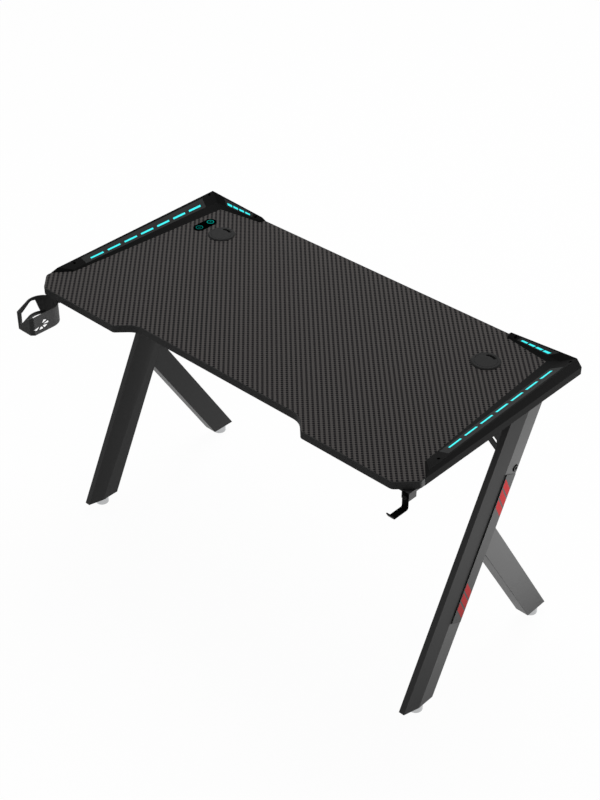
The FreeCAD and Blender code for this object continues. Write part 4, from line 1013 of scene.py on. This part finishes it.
def make_thread_tree():
    """A spiral thread on a round core, set on every point."""
    tree, size = geometry_group("threaded_stem", THREAD_INPUTS)
    root = math_node(tree, "SUBTRACT", size["Stem Radius"], size["Thread Depth"])
    spiral = add_node(tree, "GeometryNodeCurveSpiral", {
        "Resolution": THREAD_STEPS,
        "Rotations": size["Thread Turns"],
        "Start Radius": root,
        "End Radius": root,
        "Height": size["Thread Length"],
    })
    ridge = add_node(tree, "GeometryNodeCurvePrimitiveCircle", {
        "Resolution": RIDGE_SIDES,
        "Radius": math_node(tree, "MULTIPLY", size["Thread Depth"], RIDGE_SHARE),
    })
    sweep = add_node(tree, "GeometryNodeCurveToMesh", {
        "Curve": spiral.outputs[0],
        "Profile Curve": ridge.outputs[0],
        "Fill Caps": True,
    })
    core = drum(tree, SHANK_SIDES, root, root, size["Thread Length"])
    set_on_points(tree, size, joined(tree, sweep.outputs[0], core))
    return tree


thread_tree = make_thread_tree()
print("thread tree", thread_tree.name)

# %% [markdown]
# The foot itself is a turned puck: half a profile spun round its axis, with a round edge
# at the sole and a chamfer at the top. The puck's size comes from the CAD boxes of the
# foot and of the plate above it, and the stem takes up the rest of the height.

# %% Turn the levelling feet
TURN_STEPS = 72
ROUND_STEPS = 4
FOOT_GAP = 0.3 * MM
FOOT_ROUND = 1.6 * MM


def box_of(node):
    """The low and the high corner of a node."""
    return [Vector(corner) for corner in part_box(node)]


def spun(name, profile):
    """A mesh turned about Z from radius and height pairs that start and end on the axis."""
    form = bmesh.new()
    corners = [form.verts.new((radius, 0.0, height)) for radius, height in profile]
    edges = [form.edges.new(pair) for pair in zip(corners, corners[1:])]
    bmesh.ops.spin(form, geom=corners + edges, cent=(0, 0, 0), axis=(0, 0, 1),
                   angle=math.tau, steps=TURN_STEPS, use_merge=True)
    bmesh.ops.remove_doubles(form, verts=form.verts, dist=WELD)
    bmesh.ops.recalc_face_normals(form, faces=form.faces)
    return form_to_mesh(form, name)


def puck_profile(radius, height):
    """Half the section of a foot: flat sole, round edge, chamfered top."""
    turns = [math.pi / 2 * step / ROUND_STEPS for step in range(ROUND_STEPS + 1)]
    corner = [(radius - FOOT_ROUND * (1 - math.sin(turn)), FOOT_ROUND * (1 - math.cos(turn)))
              for turn in turns]
    crown = [(radius, height - FOOT_ROUND), (radius - FOOT_ROUND, height)]
    return [(0.0, 0.0)] + corner + crown + [(0.0, height)]


for node_name in [name for name in SLOTS if name.endswith("levelling_foot")]:
    low, high = box_of(node_name)
    foot_middle = (low + high) / 2
    plate_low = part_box(node_name.replace("levelling_foot", "foot_plate"))[0]
    puck_height = plate_low[2] - FOOT_GAP
    puck = spun(node_name + "_puck", puck_profile((high.x - low.x) / 2, puck_height))
    puck.transform(Matrix.Translation((foot_middle.x, foot_middle.y, low.z)))
    stem_length = high.z - puck_height
    stem_values = {
        "Stem Radius": STEM_RADIUS,
        "Thread Depth": THREAD_DEPTH,
        "Thread Length": stem_length,
        "Thread Turns": stem_length / THREAD_PITCH,
    }
    stem_place = (foot_middle.x, foot_middle.y, puck_height)
    stem = grow(node_name, thread_tree, [stem_place], stem_values, (0.0, 0.0, 0.0), FINISH["foot_chrome"])
    foot_form = bmesh.new()
    foot_form.from_mesh(puck)
    foot_form.from_mesh(stem)
    foot_mesh = form_to_mesh(foot_form, node_name + "_turned")
    shade(foot_mesh, EDGE_ANGLE)
    foot_piece = show(node_name + "_dressed", foot_mesh, "foot_chrome", "foot_chrome",
                      body_of(node_name), node_name)
    print(foot_piece.name, len(foot_mesh.polygons), "faces")

# %% [markdown]
# The badge on the right leg carries two groups of three slanted red bars, printed on the
# plate. They repeat, so a tree makes them: one bar is a thin box sheared by a Set Position
# node, and it is set on a row of points. They stand a tenth of a millimetre proud, as
# thick screen ink does.

# %% Cut the stripe tree
STRIPE_INPUTS = ("Long", "Half Width", "Lean", "Thick")


def make_stripe_tree():
    """A slanted thin bar, set on every point."""
    tree, size = geometry_group("slanted_bars", STRIPE_INPUTS)
    bar_size = vector(tree, {
        "X": size["Thick"],
        "Y": math_node(tree, "MULTIPLY", size["Half Width"], 2.0),
        "Z": size["Long"],
    })
    bar = add_node(tree, "GeometryNodeMeshCube", {"Size": bar_size})
    where = tree.nodes.new("GeometryNodeInputPosition").outputs[0]
    split = add_node(tree, "ShaderNodeSeparateXYZ", {0: where})
    shear = vector(tree, {"Z": math_node(tree, "MULTIPLY", split.outputs["Y"], size["Lean"])})
    lean = add_node(tree, "GeometryNodeSetPosition", {"Geometry": bar.outputs["Mesh"], "Offset": shear})
    set_on_points(tree, size, lean.outputs[0])
    return tree


stripe_tree = make_stripe_tree()
print("stripe tree", stripe_tree.name)

# %% [markdown]
# The row follows the badge, and the badge follows the leaning leg. Its highest and its
# foremost corner give the direction, so the stripes stay on the plate if the leg changes.

# %% Print the badge stripes
STRIPE_LONG = 19.8 * MM
STRIPE_HALF = 16.6 * MM
STRIPE_LEAN_SHARE = -0.77
STRIPE_PITCH = 25.3 * MM
STRIPE_GROUP = 131.5 * MM
INK_THICK = 0.1 * MM
STRIPES_IN_GROUP = 3
INK = (("#5c1819", "#641b1c"), (0.42, 0.52), 1800, 0.01, 0.05)
FINISH["badge_ink"] = grained_finish("badge_ink", *INK)

badge_low, badge_high = box_of("right_leg_badge")
badge_middle = (badge_low + badge_high) / 2
badge_points = [vertex.co for vertex in frame["nodes"]["right_leg_badge"].data.vertices]
top_corner = max(badge_points, key=lambda point: point.z)
front_corner = min(badge_points, key=lambda point: point.y)
leg_axis = Vector((0.0, top_corner.y - front_corner.y, top_corner.z - front_corner.z)).normalized()
stripe_turn = (-math.atan2(leg_axis.y, leg_axis.z), 0.0, 0.0)
stripe_points = []
for group_side in (-1, 1):
    for number in range(STRIPES_IN_GROUP):
        along = group_side * STRIPE_GROUP + (number - (STRIPES_IN_GROUP - 1) / 2) * STRIPE_PITCH
        spot = badge_middle + leg_axis * along
        stripe_points.append((badge_high.x, spot.y, spot.z))
stripe_values = {
    "Long": STRIPE_LONG,
    "Half Width": STRIPE_HALF,
    "Lean": STRIPE_LEAN_SHARE,
    "Thick": INK_THICK * 2,
}
stripe_mesh = grow("badge_stripes", stripe_tree, stripe_points, stripe_values, stripe_turn,
                   FINISH["badge_ink"])
stripes = show("badge_stripes", stripe_mesh, "badge_ink", "badge_plastic", "desk")
print(stripes.name, len(stripe_points), "bars along", [round(value, 3) for value in leg_axis])

# %% [markdown]
# The touch panel has two lit marks under its window. They are brighter at the rear, so
# the colour of their light moves with the object's own Y. Only the colour changes: the
# strength is one plain number, which the export keeps.

# %% Light the touch marks
MARK_SHIFT = 19.8 * MM
touch_low, touch_high = box_of("touch_panel")
touch_middle = (touch_low + touch_high) / 2


def lit_mark():
    """Teal light that shows through the window."""
    made, tree, shader, where = start_finish("touch_mark")
    height, mottle = add_grain(tree, where, grains=900, mottles=90.0)
    split = add_node(tree, "ShaderNodeSeparateXYZ", {0: where})
    behind = math_node(tree, "SUBTRACT", split.outputs["Y"], touch_middle.y - MARK_SHIFT)
    rear_share = math_node(tree, "DIVIDE", behind, MARK_SHIFT * 2)
    feed(tree, shader, {
        "Emission Color": two_shades(tree, rear_share, "#006e66", "#00a89a"),
        "Emission Strength": 0.95,
        "Base Color": two_shades(tree, mottle, "#000403", "#000605"),
        "Roughness": spread(tree, mottle, low=0.25, high=0.4),
        "Normal": bump(tree, height, deep=0.002),
        "Specular IOR Level": 0.0,
    })
    return made


FINISH["touch_mark"] = lit_mark()
print("touch marks", round(MARK_SHIFT * 2 / MM, 1), "mm apart")

# %% [markdown]
# Plain signs do for the marks: a ring round three dots, and a ring round a bar. Rings,
# dots and bar are thin prisms that stand a hair over the window, because a flat sheet on
# the window would flicker through it.

# %% Draw the touch marks
MARK_RADIUS = 9.4 * MM
MARK_LINE = 1.7 * MM
MARK_THICK = 0.08 * MM
MARK_STEPS = 40
DOTS = 3
DOT_RADIUS = 1.3 * MM
DOT_RING = 2.6 * MM


def flat_prism(form, outline, inner=None):
    """Adds a thin prism between an outline and an optional inner outline."""
    rings = [outline] if inner is None else [outline, inner]
    low = [[form.verts.new((x, y, 0.0)) for x, y in ring] for ring in rings]
    high = [[form.verts.new((x, y, MARK_THICK)) for x, y in ring] for ring in rings]
    steps = [(step, (step + 1) % len(outline)) for step in range(len(outline))]
    for under, over in zip(low, high):
        for step, after in steps:
            form.faces.new((under[step], under[after], over[after], over[step]))
    if inner is None:
        form.faces.new(high[0])
        form.faces.new(low[0][::-1])
        return
    for step, after in steps:
        form.faces.new((high[0][step], high[0][after], high[1][after], high[1][step]))
        form.faces.new((low[0][step], low[1][step], low[1][after], low[0][after]))


def round_outline(x, y, radius):
    """Points on a circle."""
    turns = [math.tau * step / MARK_STEPS for step in range(MARK_STEPS)]
    return [(x + radius * math.cos(turn), y + radius * math.sin(turn)) for turn in turns]


marks = bmesh.new()
for mark_y in (-MARK_SHIFT, MARK_SHIFT):
    ring_inside = round_outline(0.0, mark_y, MARK_RADIUS - MARK_LINE)
    flat_prism(marks, round_outline(0.0, mark_y, MARK_RADIUS), ring_inside)
for number in range(DOTS):
    dot_turn = math.tau * number / DOTS + math.pi / 2
    dot_x = DOT_RING * math.cos(dot_turn)
    dot_y = DOT_RING * math.sin(dot_turn) - MARK_SHIFT
    flat_prism(marks, round_outline(dot_x, dot_y, DOT_RADIUS))
bar_half = MARK_LINE / 2
bar_low = MARK_SHIFT - DOT_RING
bar_high = MARK_SHIFT + DOT_RING
bar_corners = [(-bar_half, bar_low), (bar_half, bar_low), (bar_half, bar_high), (-bar_half, bar_high)]
flat_prism(marks, bar_corners)
bmesh.ops.recalc_face_normals(marks, faces=marks.faces)
mark_mesh = form_to_mesh(marks, "touch_marks")
mark_mesh.transform(Matrix.Translation((touch_middle.x, touch_middle.y, touch_high.z)))
touch_marks = show("touch_marks", mark_mesh, "touch_mark", "lens", "desk")
print(touch_marks.name, len(mark_mesh.polygons), "faces")
